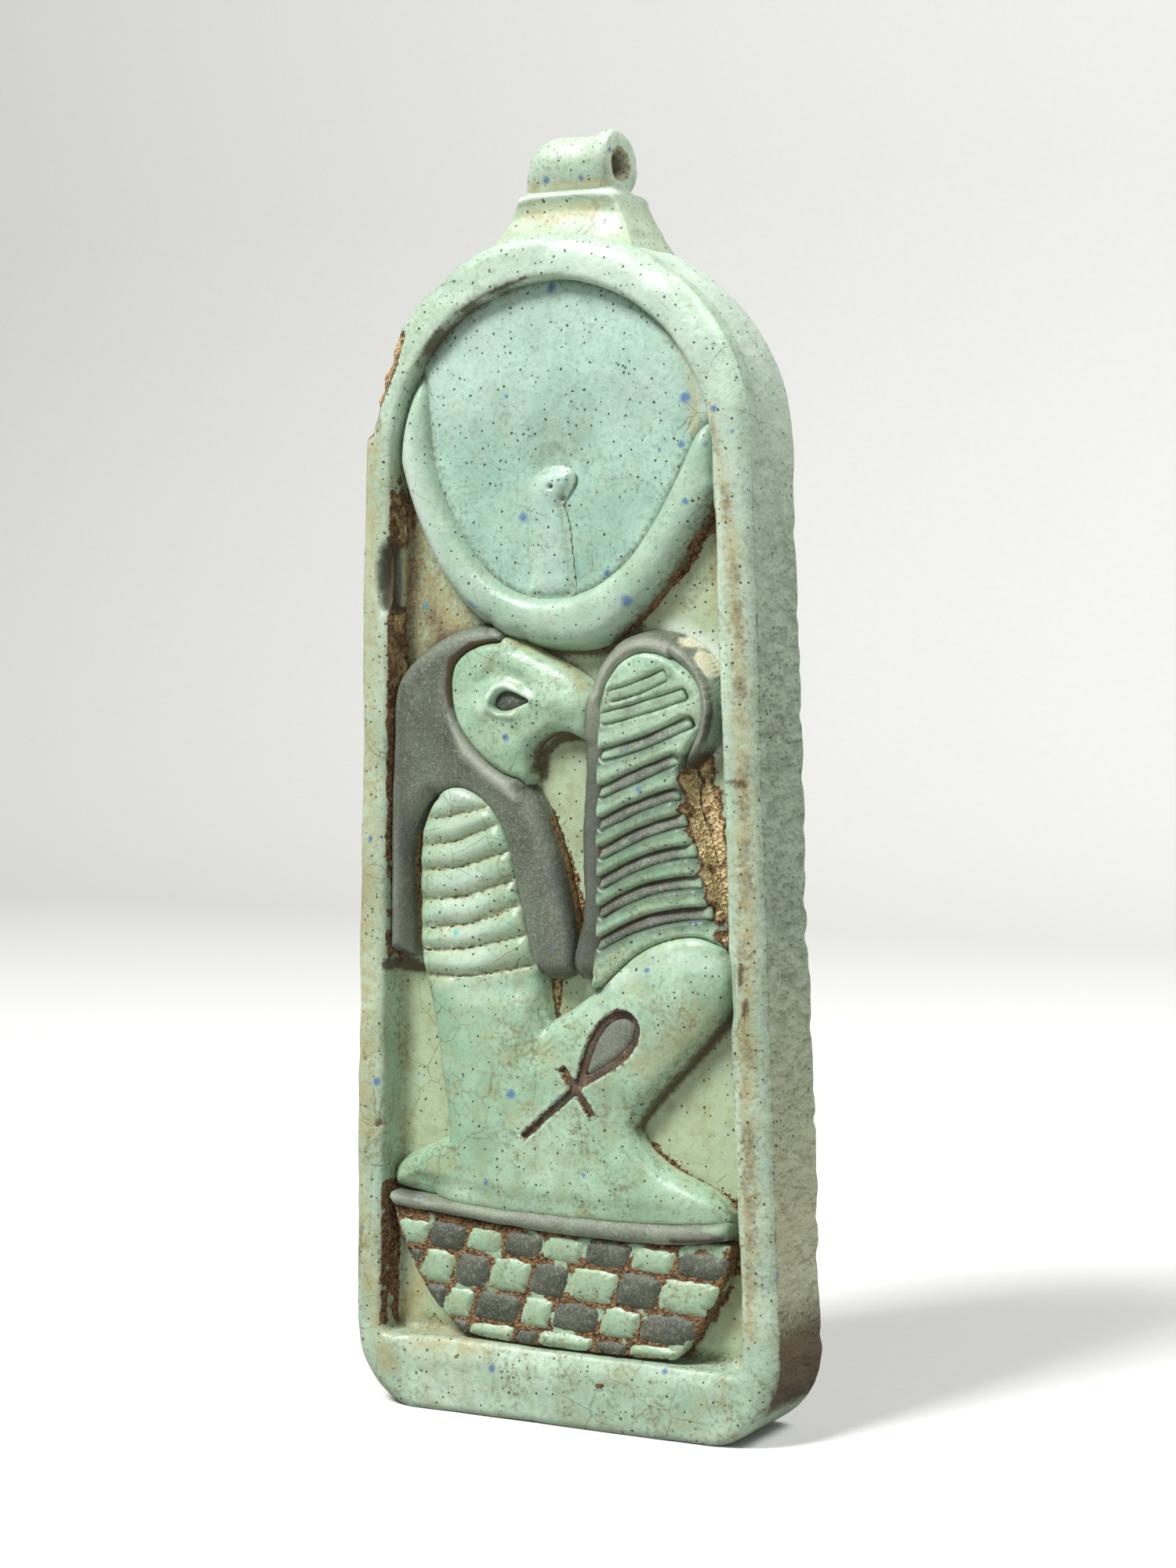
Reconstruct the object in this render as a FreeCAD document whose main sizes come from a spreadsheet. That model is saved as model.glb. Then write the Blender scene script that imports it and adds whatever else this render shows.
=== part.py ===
import FreeCAD, Part
import math
import os
import Sketcher
from FreeCAD import Placement, Rotation, Vector

# Pendant plaque of glazed paste, standing upright: X across, Z up, the figures facing -Y.
# The origin is at the middle of the foot, half way through the thickness.
# A moulded tablet with a sunk field carries the figures as separate inlays set on the field's floor.

os.makedirs("parts", exist_ok=True)
doc = FreeCAD.newDocument("khonsu_plaque")

# Driving sizes, in millimetres.
sizes = {
    # Tablet
    "foot_width": 33.8,
    "foot_corner_radius": 6.4,
    "arch_radius": 15.1,
    "crown_height": 83.3,
    "tablet_thickness": 8.7,
    "arris_radius": 0.9,
    "foot_grinding": 0.5,
    # Frame round the sunk field
    "frame_side": 2.45,
    "frame_top": 3.2,
    "frame_foot": 5.2,
    "field_depth": 2.6,
    "field_corner_radius": 0.5,
    "field_arris_radius": 0.35,
    # Suspension loop, with its heights taken from the crown
    "barrel_radius": 1.95,
    "barrel_length": 6.8,
    "barrel_setback": 0.35,
    "barrel_height": 4.75,
    "barrel_arris": 0.5,
    "cord_bore_radius": 1.0,
    "neck_foot_width": 11.6,
    "neck_top_width": 7.4,
    "neck_top_height": 2.9,
    "stem_width": 5.2,
    "stem_thickness": 1.2,
    "neck_foot_front": 1.6,
    "neck_foot_back": 3.4,
    "neck_top_front": 1.2,
    "neck_top_back": 2.3,
    "neck_sink": 3.0,
    # How far each figure's face lies behind the frame's face
    "disc_drop": 1.25,
    "crescent_drop": 0.35,
    "wig_drop": 0.5,
    "head_drop": 0.5,
    "eye_drop": 0.75,
    "body_drop": 0.35,
    "feather_rim_drop": 0.5,
    "vane_drop": 0.75,
    "barb_drop": 0.85,
    "ankh_drop": 0.55,
    "ankh_fill_drop": 0.5,
    "rim_drop": 0.35,
    "tessera_drop": 0.75,
    "bed_drop": 1.25,
    # Cells sunk into an inlay for a smaller one
    "eye_cell_depth": 0.8,
    "ankh_cell_depth": 0.8,
    "barb_cell_depth": 0.7,
    "uraeus_rise": 0.7,
    # Line widths
    "barb_width": 0.75,
    "ankh_line": 0.6,
    "rib_groove_width": 0.3,
    "rib_groove_depth": 0.4,
    # Joints between pieces
    "seam_gap": 0.1,
    "grout_gap": 0.32,
    # Rounded edges of the inlays
    "inlay_arris": 0.3,
    "wig_arris": 0.15,
    "crescent_arris": 0.8,
    "body_arris": 0.45,
    "rim_arris": 0.3,
    # Cutters run past what they cut
    "overrun": 1.0,
    # Edges this near a plane count as lying on it
    "closeness": 0.001,
}

sheet = doc.addObject("Spreadsheet::Sheet", "sizes")
for line, (name, value) in enumerate(sizes.items(), start=1):
    sheet.set("A%d" % line, name)
    sheet.set("B%d" % line, str(value))
    sheet.setAlias("B%d" % line, name)
doc.recompute()


def size(name):
    return float(sheet.get(name))


front = -size("tablet_thickness") / 2
floor = front + size("field_depth")
half_field = size("foot_width") / 2 - size("frame_side")
field_arch = size("arch_radius") - size("frame_side")
arch_centre = size("crown_height") - size("frame_top") - field_arch

# The figures are laid out on a grid of columns and rows ruled over the field.
# Places on it are shares: columns to the right, rows up.
middle_column_share = 0.35
foot_row_share = 4.75
moon_foot_row_share = 54.3
arch_row_share = 67.0
# Half the field's width in columns, at its foot and where the arch springs.
half_foot_share = 14.45
half_arch_share = 12.65
# Under the arch the grid is square; below the moon its rows fill what height is left.
moon_square = field_arch / half_arch_share
moon_foot = arch_centre - (arch_row_share - moon_foot_row_share) * moon_square
row = (moon_foot - size("frame_foot")) / (moon_foot_row_share - foot_row_share)


def moon_spot(across_share, up_share):
    # A place on the square grid under the arch, on the plane y = 0.
    x = (across_share - middle_column_share) * moon_square
    return Vector(x, 0, arch_centre + (up_share - arch_row_share) * moon_square)


def spot(across_share, up_share):
    # A place below the moon, on the plane y = 0. Columns draw in as the field does.
    z = size("frame_foot") + (up_share - foot_row_share) * row
    risen = (z - size("frame_foot")) / (arch_centre - size("frame_foot"))
    risen_share = (up_share - foot_row_share) / (arch_row_share - foot_row_share)
    half = half_field + risen * (field_arch - half_field)
    half_share = half_foot_share + risen_share * (half_arch_share - half_foot_share)
    return Vector((across_share - middle_column_share) * half / half_share, 0, z)


def stretch(points):
    # A straight edge through two points, or one smooth curve through more.
    if len(points) == 2:
        return Part.makeLine(points[0], points[1])
    curve = Part.BSplineCurve()
    curve.interpolate(points)
    return curve.toShape()


def outline_face(run_shares, place=spot):
    # Runs follow each other round the outline; a corner stands where one run ends.
    edges = []
    start = run_shares[-1][-1]
    for run in run_shares:
        points = [place(across, up) for across, up in [start] + run]
        edges.append(stretch(points))
        start = run[-1]
    return Part.Face(Part.Wire(edges))


def grown(face, gap):
    # The outline moved out by the gap, or in by a negative one, with plain curves for its edges.
    return Part.Face(face.makeOffset2D(gap).toNurbs().Faces[0].OuterWire)


def without(face, others, gap):
    # Leaves a joint of one gap round each neighbour.
    for other in others:
        face = face.cut(grown(other, gap))
    faces = sorted(face.Faces, key=lambda each: each.Area)
    return faces[-1]


def slab(face, back, drop):
    # A plate from its back plane up to its own drop behind the frame's face.
    moved = face.copy()
    moved.translate(Vector(0, back, 0))
    return moved.extrude(Vector(0, front + drop - back, 0))


def rounded_front(solid, drop, radius):
    # Rounds the edge of the front.
    plane = front + drop
    close = size("closeness")
    edges = []
    for edge in solid.Edges:
        box = edge.BoundBox
        if abs(box.YMin - plane) < close and abs(box.YMax - plane) < close:
            edges.append(edge)
    return solid.makeFillet(radius, edges)


def placed(label, shape):
    piece = doc.addObject("Part::Feature", label)
    piece.Label = label
    piece.Shape = shape
    piece.Placement = Placement()
    return piece


def origin_plane(body, role):
    for feature in body.Origin.OriginFeatures:
        if feature.Role == role:
            return feature


def new_body(label):
    body = doc.addObject("PartDesign::Body", label)
    body.Label = label
    body.Placement = Placement()
    return body


def front_sketch(body, name):
    # Sketch X runs along X and sketch Y along Z; its normal faces -Y.
    sketch = body.newObject("Sketcher::SketchObject", name)
    sketch.AttachmentSupport = [(origin_plane(body, "XZ_Plane"), "")]
    sketch.MapMode = "FlatFace"
    return sketch


def arched_outline(half_foot, foot, corner, arch, arch_centre):
    # Foot line, corner arc, side line, arch arc, side line, corner arc: each tangent to the next.
    corner_x = half_foot - corner
    corner_z = foot + corner
    reach = math.hypot(corner_x, arch_centre - corner_z)
    lean = math.atan2(arch_centre - corner_z, -corner_x)
    turn = lean - math.acos((corner - arch) / reach)
    across = Vector(math.cos(turn), math.sin(turn), 0)
    back = Vector(-across.x, across.y, 0)
    up = Vector(0, 0, 1)
    right = Vector(corner_x, corner_z, 0)
    left = Vector(-corner_x, corner_z, 0)
    top = Vector(0, arch_centre, 0)
    down = -math.pi / 2
    return [
        Part.LineSegment(Vector(-corner_x, foot, 0), Vector(corner_x, foot, 0)),
        Part.ArcOfCircle(Part.Circle(right, up, corner), down, turn),
        Part.LineSegment(right + across * corner, top + across * arch),
        Part.ArcOfCircle(Part.Circle(top, up, arch), turn, math.pi - turn),
        Part.LineSegment(top + back * arch, left + back * corner),
        Part.ArcOfCircle(Part.Circle(left, up, corner), math.pi - turn, -down + math.pi),
    ]


def constrain_arched(sketch, half_foot, foot, corner, arch, arch_centre):
    # Binds the six pieces of an arched outline to expressions in the sheet.
    start, end, centre = 1, 2, 3
    joins = [(0, end, 1, start), (1, end, 2, start), (2, end, 3, start),
             (3, end, 4, start), (4, end, 5, start), (5, end, 0, start)]
    for first, first_end, second, second_end in joins:
        sketch.addConstraint(Sketcher.Constraint("Tangent", first, first_end, second, second_end))
    radius_now = [sketch.Geometry[index].Radius for index in (1, 5, 3)]
    bounds = (corner, corner, arch)
    for index, value, bound in zip((1, 5, 3), radius_now, bounds):
        number = sketch.addConstraint(Sketcher.Constraint("Radius", index, value))
        sketch.setExpression("Constraints[%d]" % number, bound)
    place = sketch.Geometry[3].Center
    sketch.addConstraint(Sketcher.Constraint("PointOnObject", 3, centre, -2))
    number = sketch.addConstraint(Sketcher.Constraint("DistanceY", -1, 1, 3, centre, place.y))
    sketch.setExpression("Constraints[%d]" % number, arch_centre)
    sketch.addConstraint(Sketcher.Constraint("Horizontal", 0))
    right = sketch.Geometry[1].Center
    number = sketch.addConstraint(Sketcher.Constraint("DistanceX", -1, 1, 1, centre, right.x))
    sketch.setExpression("Constraints[%d]" % number, "%s - %s" % (half_foot, corner))
    number = sketch.addConstraint(Sketcher.Constraint("DistanceX", 5, centre, -1, 1, right.x))
    sketch.setExpression("Constraints[%d]" % number, "%s - %s" % (half_foot, corner))
    low = sketch.Geometry[0].StartPoint.y
    ends = (-1, 1, 0, start) if low > 0 else (0, start, -1, 1)
    number = sketch.addConstraint(Sketcher.Constraint("DistanceY", *ends, abs(low)))
    sketch.setExpression("Constraints[%d]" % number, foot)


def make_tablet():
    # The slab is moulded a little long below, then ground flat at the foot to stand on.
    body = new_body("moulded_tablet")
    outline = front_sketch(body, "tablet_outline")
    outer_centre = size("crown_height") - size("arch_radius")
    outline.addGeometry(arched_outline(size("foot_width") / 2, -size("foot_grinding"),
                                       size("foot_corner_radius"), size("arch_radius"),
                                       outer_centre), False)
    constrain_arched(outline, "sizes.foot_width / 2", "sizes.foot_grinding",
                     "sizes.foot_corner_radius", "sizes.arch_radius",
                     "sizes.crown_height - sizes.arch_radius")
    pad = body.newObject("PartDesign::Pad", "tablet_slab")
    pad.Profile = outline
    pad.Midplane = True
    pad.setExpression("Length", "sizes.tablet_thickness")
    doc.recompute()

    field = front_sketch(body, "field_outline")
    field.setExpression("AttachmentOffset.Base.z", "sizes.tablet_thickness / 2")
    field.addGeometry(arched_outline(half_field, size("frame_foot"), size("field_corner_radius"),
                                     field_arch, arch_centre), False)
    constrain_arched(field, "(sizes.foot_width / 2 - sizes.frame_side)", "sizes.frame_foot",
                     "sizes.field_corner_radius", "(sizes.arch_radius - sizes.frame_side)",
                     "sizes.crown_height - sizes.frame_top - sizes.arch_radius + sizes.frame_side")
    solid_volume = pad.Shape.Volume
    pocket = body.newObject("PartDesign::Pocket", "sunk_field")
    pocket.Profile = field
    pocket.setExpression("Length", "sizes.field_depth")
    doc.recompute()
    if pocket.Shape.Volume >= solid_volume:
        raise RuntimeError("the sunk field cut nothing")

    outer, inner = arris_edges(pocket.Shape)
    outer_fillet = body.newObject("PartDesign::Fillet", "outer_arris")
    outer_fillet.Base = (pocket, outer)
    outer_fillet.setExpression("Radius", "sizes.arris_radius")
    doc.recompute()
    outer, inner = arris_edges(outer_fillet.Shape)
    inner_fillet = body.newObject("PartDesign::Fillet", "field_arris")
    inner_fillet.Base = (outer_fillet, inner)
    inner_fillet.setExpression("Radius", "sizes.field_arris_radius")
    body.Tip = inner_fillet
    doc.recompute()

    ground = doc.addObject("Part::Box", "ground_off")
    ground.setExpression("Length", "sizes.foot_width + 2 * sizes.overrun")
    ground.setExpression("Width", "sizes.tablet_thickness + 2 * sizes.overrun")
    ground.setExpression("Height", "sizes.foot_grinding + sizes.overrun")
    ground.setExpression("Placement.Base.x", "-sizes.foot_width / 2 - sizes.overrun")
    ground.setExpression("Placement.Base.y", "-sizes.tablet_thickness / 2 - sizes.overrun")
    ground.setExpression("Placement.Base.z", "-sizes.foot_grinding - sizes.overrun")
    tablet = doc.addObject("Part::Cut", "tablet")
    tablet.Base = body
    tablet.Tool = ground
    doc.recompute()
    return tablet


def arris_edges(shape):
    # Names of the edges round the two faces, and of those round the mouth of the field.
    outer = []
    inner = []
    half = size("tablet_thickness") / 2
    close = size("closeness")
    for number, edge in enumerate(shape.Edges, start=1):
        box = edge.BoundBox
        flat = box.YMax - box.YMin < close
        at_front = flat and abs(box.YMin + half) < close
        at_back = flat and abs(box.YMax - half) < close
        middle = edge.valueAt((edge.FirstParameter + edge.LastParameter) / 2)
        in_field = field_face(0).isInside(Vector(middle.x, 0, middle.z), close, True)
        if at_back or (at_front and not in_field):
            outer.append("Edge%d" % number)
        elif at_front:
            inner.append("Edge%d" % number)
    return outer, inner


def field_face(inset):
    # The mouth of the field as a face on the plane y = 0, drawn in by the inset.
    flat = arched_outline(half_field, size("frame_foot"), size("field_corner_radius"),
                          field_arch, arch_centre)
    wire = Part.Wire([piece.toShape() for piece in flat])
    wire.rotate(Vector(0, 0, 0), Vector(1, 0, 0), 90)
    face = Part.Face(wire)
    if inset:
        face = grown(face, -inset)
    return face


def in_field(face):
    return face.common(field_face(size("seam_gap")))


# The loop is a rolled barrel on a flaring neck, luted onto the arch, with a bore along X for a cord.
def make_suspension_loop():
    barrel = doc.addObject("Part::Cylinder", "barrel")
    barrel.setExpression("Radius", "sizes.barrel_radius")
    barrel.setExpression("Height", "sizes.barrel_length")
    barrel.Placement = Placement(Vector(0, 0, 0), Rotation(Vector(0, 1, 0), 90))
    barrel.setExpression("Placement.Base.x", "-sizes.barrel_length / 2")
    barrel.setExpression("Placement.Base.y", "sizes.barrel_setback")
    barrel.setExpression("Placement.Base.z", "sizes.crown_height + sizes.barrel_height")
    doc.recompute()
    soft_barrel = doc.addObject("Part::Fillet", "soft_barrel")
    soft_barrel.Base = barrel
    soft_barrel.Edges = [(1, size("barrel_arris"), size("barrel_arris")),
                         (3, size("barrel_arris"), size("barrel_arris"))]

    # The wedge stands with its own Y up and its own Z towards the front.
    neck = doc.addObject("Part::Wedge", "neck")
    neck.setExpression("Xmin", "-sizes.neck_foot_width / 2")
    neck.setExpression("Xmax", "sizes.neck_foot_width / 2")
    neck.setExpression("X2min", "-sizes.neck_top_width / 2")
    neck.setExpression("X2max", "sizes.neck_top_width / 2")
    neck.setExpression("Ymin", "sizes.crown_height - sizes.neck_sink")
    neck.setExpression("Ymax", "sizes.crown_height + sizes.neck_top_height")
    neck.setExpression("Zmin", "-sizes.neck_foot_back")
    neck.setExpression("Zmax", "sizes.neck_foot_front")
    neck.setExpression("Z2min", "-sizes.neck_top_back")
    neck.setExpression("Z2max", "sizes.neck_top_front")
    neck.Placement = Placement(Vector(0, 0, 0), Rotation(Vector(1, 0, 0), 90))

    # A stem inside both runs from the neck's foot to the barrel's axis and joins them.
    stem = doc.addObject("Part::Box", "neck_stem")
    stem.setExpression("Length", "sizes.stem_width")
    stem.setExpression("Width", "sizes.stem_thickness")
    stem.setExpression("Height", "sizes.neck_sink + sizes.barrel_height")
    stem.setExpression("Placement.Base.x", "-sizes.stem_width / 2")
    stem.setExpression("Placement.Base.y", "sizes.barrel_setback - sizes.stem_thickness / 2")
    stem.setExpression("Placement.Base.z", "sizes.crown_height - sizes.neck_sink")

    arch = doc.addObject("Part::Cylinder", "arch_seat")
    arch.setExpression("Radius", "sizes.arch_radius")
    arch.setExpression("Height", "sizes.tablet_thickness + sizes.overrun")
    arch.Placement = Placement(Vector(0, 0, 0), Rotation(Vector(1, 0, 0), 90))
    arch.setExpression("Placement.Base.y", "(sizes.tablet_thickness + sizes.overrun) / 2")
    arch.setExpression("Placement.Base.z", "sizes.crown_height - sizes.arch_radius")

    bore = doc.addObject("Part::Cylinder", "cord_bore")
    bore.setExpression("Radius", "sizes.cord_bore_radius")
    bore.setExpression("Height", "sizes.barrel_length + 2 * sizes.overrun")
    bore.Placement = Placement(Vector(0, 0, 0), Rotation(Vector(0, 1, 0), 90))
    bore.setExpression("Placement.Base.x", "-sizes.barrel_length / 2 - sizes.overrun")
    bore.setExpression("Placement.Base.y", "sizes.barrel_setback")
    bore.setExpression("Placement.Base.z", "sizes.crown_height + sizes.barrel_height")

    joined = doc.addObject("Part::MultiFuse", "barrel_and_neck")
    joined.Shapes = [soft_barrel, neck, stem]
    cutters = doc.addObject("Part::Fuse", "seat_and_bore")
    cutters.Base = arch
    cutters.Tool = bore
    loop = doc.addObject("Part::Cut", "suspension_loop")
    loop.Base = joined
    loop.Tool = cutters
    loop.Label = "suspension_loop"
    doc.recompute()
    return loop


# Outlines of the figures, run by run, as columns and rows of the field's grid.
crescent_shares = [
    [(-12.3, 68.0), (-11.7, 65.6), (-10.9, 63.3), (-9.4, 60.4), (-7.5, 57.8),
     (-5.3, 56.0), (-2.5, 54.8), (0.8, 54.3), (3.6, 54.6), (6.2, 56.2), (8.6, 58.6),
     (11.0, 61.9), (12.6, 64.2), (13.2, 67.0), (12.9, 70.0)],
    [(11.6, 69.0), (10.2, 66.6), (8.5, 63.5), (6.6, 60.9), (3.7, 58.6), (0.3, 57.7),
     (-3.5, 58.5), (-6.2, 60.9), (-8.2, 64.2), (-9.4, 68.0), (-9.6, 71.0), (-10.2, 74.6)],
    [(-11.4, 72.9), (-12.2, 70.5)],
]
uraeus_shares = [
    [(-1.4, 60.4), (-1.4, 62.6), (-1.5, 64.4), (-1.2, 65.6), (-0.3, 66.3),
     (0.9, 66.5), (1.7, 66.3)],
    [(1.6, 65.6), (1.1, 64.8), (0.7, 64.0)],
    [(1.1, 63.0), (1.35, 61.4), (1.5, 60.2), (1.75, 58.6)],
    [(0.0, 58.3), (-1.75, 58.6)],
]
wig_shares = [
    [(-6.2, 55.6), (-8.9, 54.75), (-11.2, 53.2), (-12.4, 51.5), (-12.6, 48.5), (-13.1, 42.0),
     (-13.4, 36.0), (-13.35, 33.6)],
    [(-13.3, 32.9), (-12.9, 32.5)],
    [(-11.4, 32.3)],
    [(-11.5, 35.0), (-11.5, 39.0), (-10.9, 42.3), (-9.6, 43.8), (-7.5, 44.4), (-5.3, 43.4),
     (-3.9, 41.5), (-2.8, 37.8), (-1.8, 33.6), (-1.1, 31.4)],
    [(0.2, 31.1), (1.4, 31.8)],
    [(1.4, 34.4), (0.8, 37.5), (-0.3, 41.1), (-1.5, 43.5), (-2.8, 45.0)],
    [(-4.6, 45.7), (-6.5, 47.3), (-7.7, 49.1), (-8.1, 51.4), (-7.7, 53.2), (-6.2, 54.3),
     (-4.1, 54.7)],
    [(-3.9, 55.0), (-4.3, 55.4)],
]
head_shares = [
    [(-3.2, 54.8), (-1.5, 53.95), (0.8, 52.9), (2.4, 51.9), (3.3, 51.0)],
    [(3.3, 47.7)],
    [(2.0, 48.1), (0.8, 48.5), (-0.4, 48.3), (-1.4, 47.6), (-1.9, 46.5), (-1.9, 45.3),
     (-2.4, 44.5)],
    [(-4.8, 45.2), (-6.9, 46.9), (-8.2, 49.0), (-8.6, 51.4), (-8.2, 53.5), (-6.4, 54.8),
     (-4.6, 55.1)],
]
eye_shares = [
    [(-4.2, 50.8), (-3.6, 51.15), (-2.7, 51.05), (-1.5, 50.55)],
    [(-2.6, 50.1), (-3.5, 49.85), (-4.15, 49.95), (-4.4, 50.3)],
]
body_shares = [
    [(-9.4, 43.6), (-10.5, 41.9), (-10.95, 39.0), (-10.95, 35.0), (-10.8, 31.5), (-10.1, 29.0),
     (-9.5, 25.0), (-8.9, 21.0), (-8.8, 19.2)],
    [(-10.6, 18.3), (-12.3, 17.5), (-13.3, 16.7), (-13.4, 15.5)],
    [(-5.0, 14.7), (5.0, 14.6), (13.4, 15.1)],
    [(12.4, 16.3), (10.8, 17.1), (8.0, 18.3), (6.5, 19.7), (6.0, 21.0)],
    [(7.5, 23.2), (9.5, 25.3), (11.5, 27.4), (13.3, 29.6), (13.8, 31.6), (13.3, 33.6),
     (11.7, 34.4), (9.4, 34.2), (7.0, 33.2), (4.6, 31.3), (2.0, 29.3), (-0.8, 27.6)],
    [(-1.1, 29.3), (-1.3, 31.2)],
    [(-1.7, 34.2), (-2.7, 38.4), (-4.2, 41.8), (-5.6, 43.8), (-7.5, 44.6)],
]
rib_groove_shares = [
    [(-11.4, 42.0), (-8.6, 42.2), (-5.0, 43.0)],
    [(-11.4, 40.1), (-7.8, 40.5), (-3.8, 42.0)],
    [(-11.4, 38.3), (-7.4, 38.7), (-3.0, 40.1)],
    [(-11.4, 36.25), (-7.2, 36.6), (-2.5, 38.1)],
    [(-11.4, 34.25), (-6.6, 34.7), (-2.0, 36.4)],
    [(-11.4, 32.65), (-7.0, 32.95), (-1.4, 34.3)],
    [(-11.4, 30.85), (-6.6, 31.0), (-0.8, 32.2)],
]
feather_rim_shares = [
    [(1.9, 32.0), (2.3, 34.5), (2.55, 40.0), (2.8, 45.0), (3.0, 49.0), (3.4, 51.8), (4.5, 53.7),
     (6.2, 54.9), (8.2, 55.1), (10.3, 54.5), (11.9, 53.2), (12.75, 51.4), (12.75, 49.4),
     (12.0, 47.7), (10.1, 46.0)],
    [(10.9, 47.8), (11.45, 49.4), (11.3, 51.4), (10.3, 52.9), (8.6, 53.85), (6.8, 53.9),
     (5.2, 52.9), (4.2, 51.2), (3.75, 48.5), (3.5, 43.0), (3.45, 38.0), (3.35, 34.0)],
    [(3.2, 32.0)],
    [(2.5, 31.2)],
]
vane_shares = [
    [(12.0, 52.0), (12.2, 49.5), (10.1, 46.2)],
    [(10.3, 45.0), (10.5, 43.3), (11.3, 41.0), (11.9, 38.8), (12.5, 36.4), (13.5, 34.2)],
    [(13.3, 33.4)],
    [(3.0, 30.6)],
    [(3.0, 40.0), (3.3, 50.0), (4.6, 53.0), (7.0, 54.6), (10.0, 54.5)],
]
barb_shares = [
    [(4.9, 50.95), (6.9, 51.5), (9.1, 52.4)],
    [(4.25, 49.35), (7.2, 50.1), (10.5, 51.1)],
    [(4.2, 46.85), (7.3, 47.75), (10.8, 49.25)],
    [(4.0, 44.25), (7.1, 45.6), (9.8, 46.7)],
    [(4.0, 42.05), (7.1, 43.45), (9.8, 44.35)],
    [(4.0, 40.0), (7.1, 41.5), (10.3, 42.55)],
    [(4.0, 37.95), (7.1, 39.5), (11.1, 40.45)],
    [(4.0, 35.95), (7.1, 37.5), (11.5, 38.3)],
    [(3.85, 33.7), (7.4, 35.4), (12.3, 36.2)],
]
ankh_loop_shares = [
    [(2.6, 26.1), (3.6, 28.0), (4.9, 29.1), (6.2, 29.25), (7.1, 28.5),
     (7.0, 27.1), (5.9, 25.7), (4.3, 24.6), (2.5, 23.6)],
    [(1.95, 23.95)],
]
ankh_stem_shares = [(2.3, 23.8), (-2.3, 19.8)]
ankh_arm_shares = [(0.9, 25.0), (3.3, 21.7)]
rim_shares = [
    [(-9.0, 14.75), (-4.0, 14.5), (2.0, 14.4), (8.0, 14.45), (13.3, 14.85)],
    [(13.4, 14.3), (13.2, 13.7)],
    [(8.0, 13.1), (3.0, 13.05), (-3.0, 13.3), (-9.0, 13.75), (-13.3, 14.05)],
    [(-13.7, 14.5), (-13.5, 14.95)],
]
bed_shares = [
    [(-13.2, 12.9), (-12.2, 10.6), (-10.7, 8.1), (-9.2, 6.4), (-7.6, 5.2)],
    [(0.0, 4.7), (9.2, 5.0)],
    [(10.4, 6.3), (11.9, 8.5), (12.9, 10.5), (13.5, 12.2), (13.6, 13.4)],
    [(-13.5, 14.4)],
]
# Joints of the basket's checks: row lines at the middle column, then uprights of each row.
check_row_shares = [13.0, 10.95, 8.4, 6.1, 4.7]
check_upright_shares = [
    [-14.2, -10.4, -7.35, -4.25, -1.05, 2.25, 5.95, 9.45, 13.8],
    [-14.0, -11.1, -8.3, -5.5, -2.15, 0.95, 4.8, 8.15, 13.6],
    [-13.0, -9.15, -6.75, -2.9, -0.4, 3.4, 6.6, 10.9],
    [-11.0, -7.2, -3.5, -1.5, 2.8, 5.7, 11.0],
]
row_fall_share = 0.017
upright_lean_share = 0.25
dark_first = [False, True, True, True]


def band_face(point_shares, width):
    # A line of one width along a stretch of the grid, square cut at its ends.
    middle = [spot(across, up) for across, up in point_shares]
    run = middle[-1] - middle[0]
    side = Vector(-run.z, 0, run.x).normalize() * (width / 2)
    above = stretch([point + side for point in middle])
    below = stretch([point - side for point in middle])
    left = Part.makeLine(middle[0] - side, middle[0] + side)
    right = Part.makeLine(middle[-1] + side, middle[-1] - side)
    return Part.Face(Part.Wire([above, right, below, left]))


def disc_face(crescent):
    circle = Part.makeCircle(field_arch - size("seam_gap"), Vector(0, 0, arch_centre), Vector(0, 1, 0))
    return without(in_field(Part.Face(Part.Wire([circle]))), [crescent], size("seam_gap"))


def ankh_faces():
    # The loop's line, its filling, and the whole sign with nothing taken out.
    loop = outline_face(ankh_loop_shares)
    inside = grown(loop, -size("ankh_line"))
    stem = band_face(ankh_stem_shares, size("ankh_line"))
    arm = band_face(ankh_arm_shares, size("ankh_line"))
    line = loop.fuse([stem, arm]).removeSplitter().cut(inside)
    filling = grown(loop, -size("ankh_line") - size("seam_gap"))
    whole = loop.fuse([stem, arm]).removeSplitter()
    return line.Faces[0], filling, whole.Faces[0]


def cell(face, drop, depth):
    # What is cut from an inlay whose face lies at the drop, for a smaller inlay.
    mouth = front + drop
    moved = grown(face, size("seam_gap"))
    moved.translate(Vector(0, mouth + depth, 0))
    return moved.extrude(Vector(0, -depth - size("overrun"), 0))


def make_moon(crescent):
    solid = rounded_front(slab(crescent, floor, size("crescent_drop")), size("crescent_drop"),
                          size("crescent_arris"))
    placed("lunar_crescent", solid)
    placed("lunar_disc", slab(disc_face(crescent), floor, size("disc_drop")))
    serpent = without(outline_face(uraeus_shares, moon_spot), [crescent], size("seam_gap"))
    drop = size("disc_drop") - size("uraeus_rise")
    solid = slab(serpent, front + size("disc_drop"), drop)
    placed("uraeus", rounded_front(solid, drop, size("inlay_arris")))


def make_wig(wig):
    drop = size("wig_drop")
    placed("wig", rounded_front(slab(wig, floor, drop), drop, size("wig_arris")))


def make_head(head):
    drop = size("head_drop")
    solid = rounded_front(slab(head, floor, drop), drop, size("inlay_arris"))
    eye = outline_face(eye_shares)
    placed("falcon_head", solid.cut(cell(eye, drop, size("eye_cell_depth"))))
    placed("eye_inlay", slab(eye, front + drop + size("eye_cell_depth"), size("eye_drop")))


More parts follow.
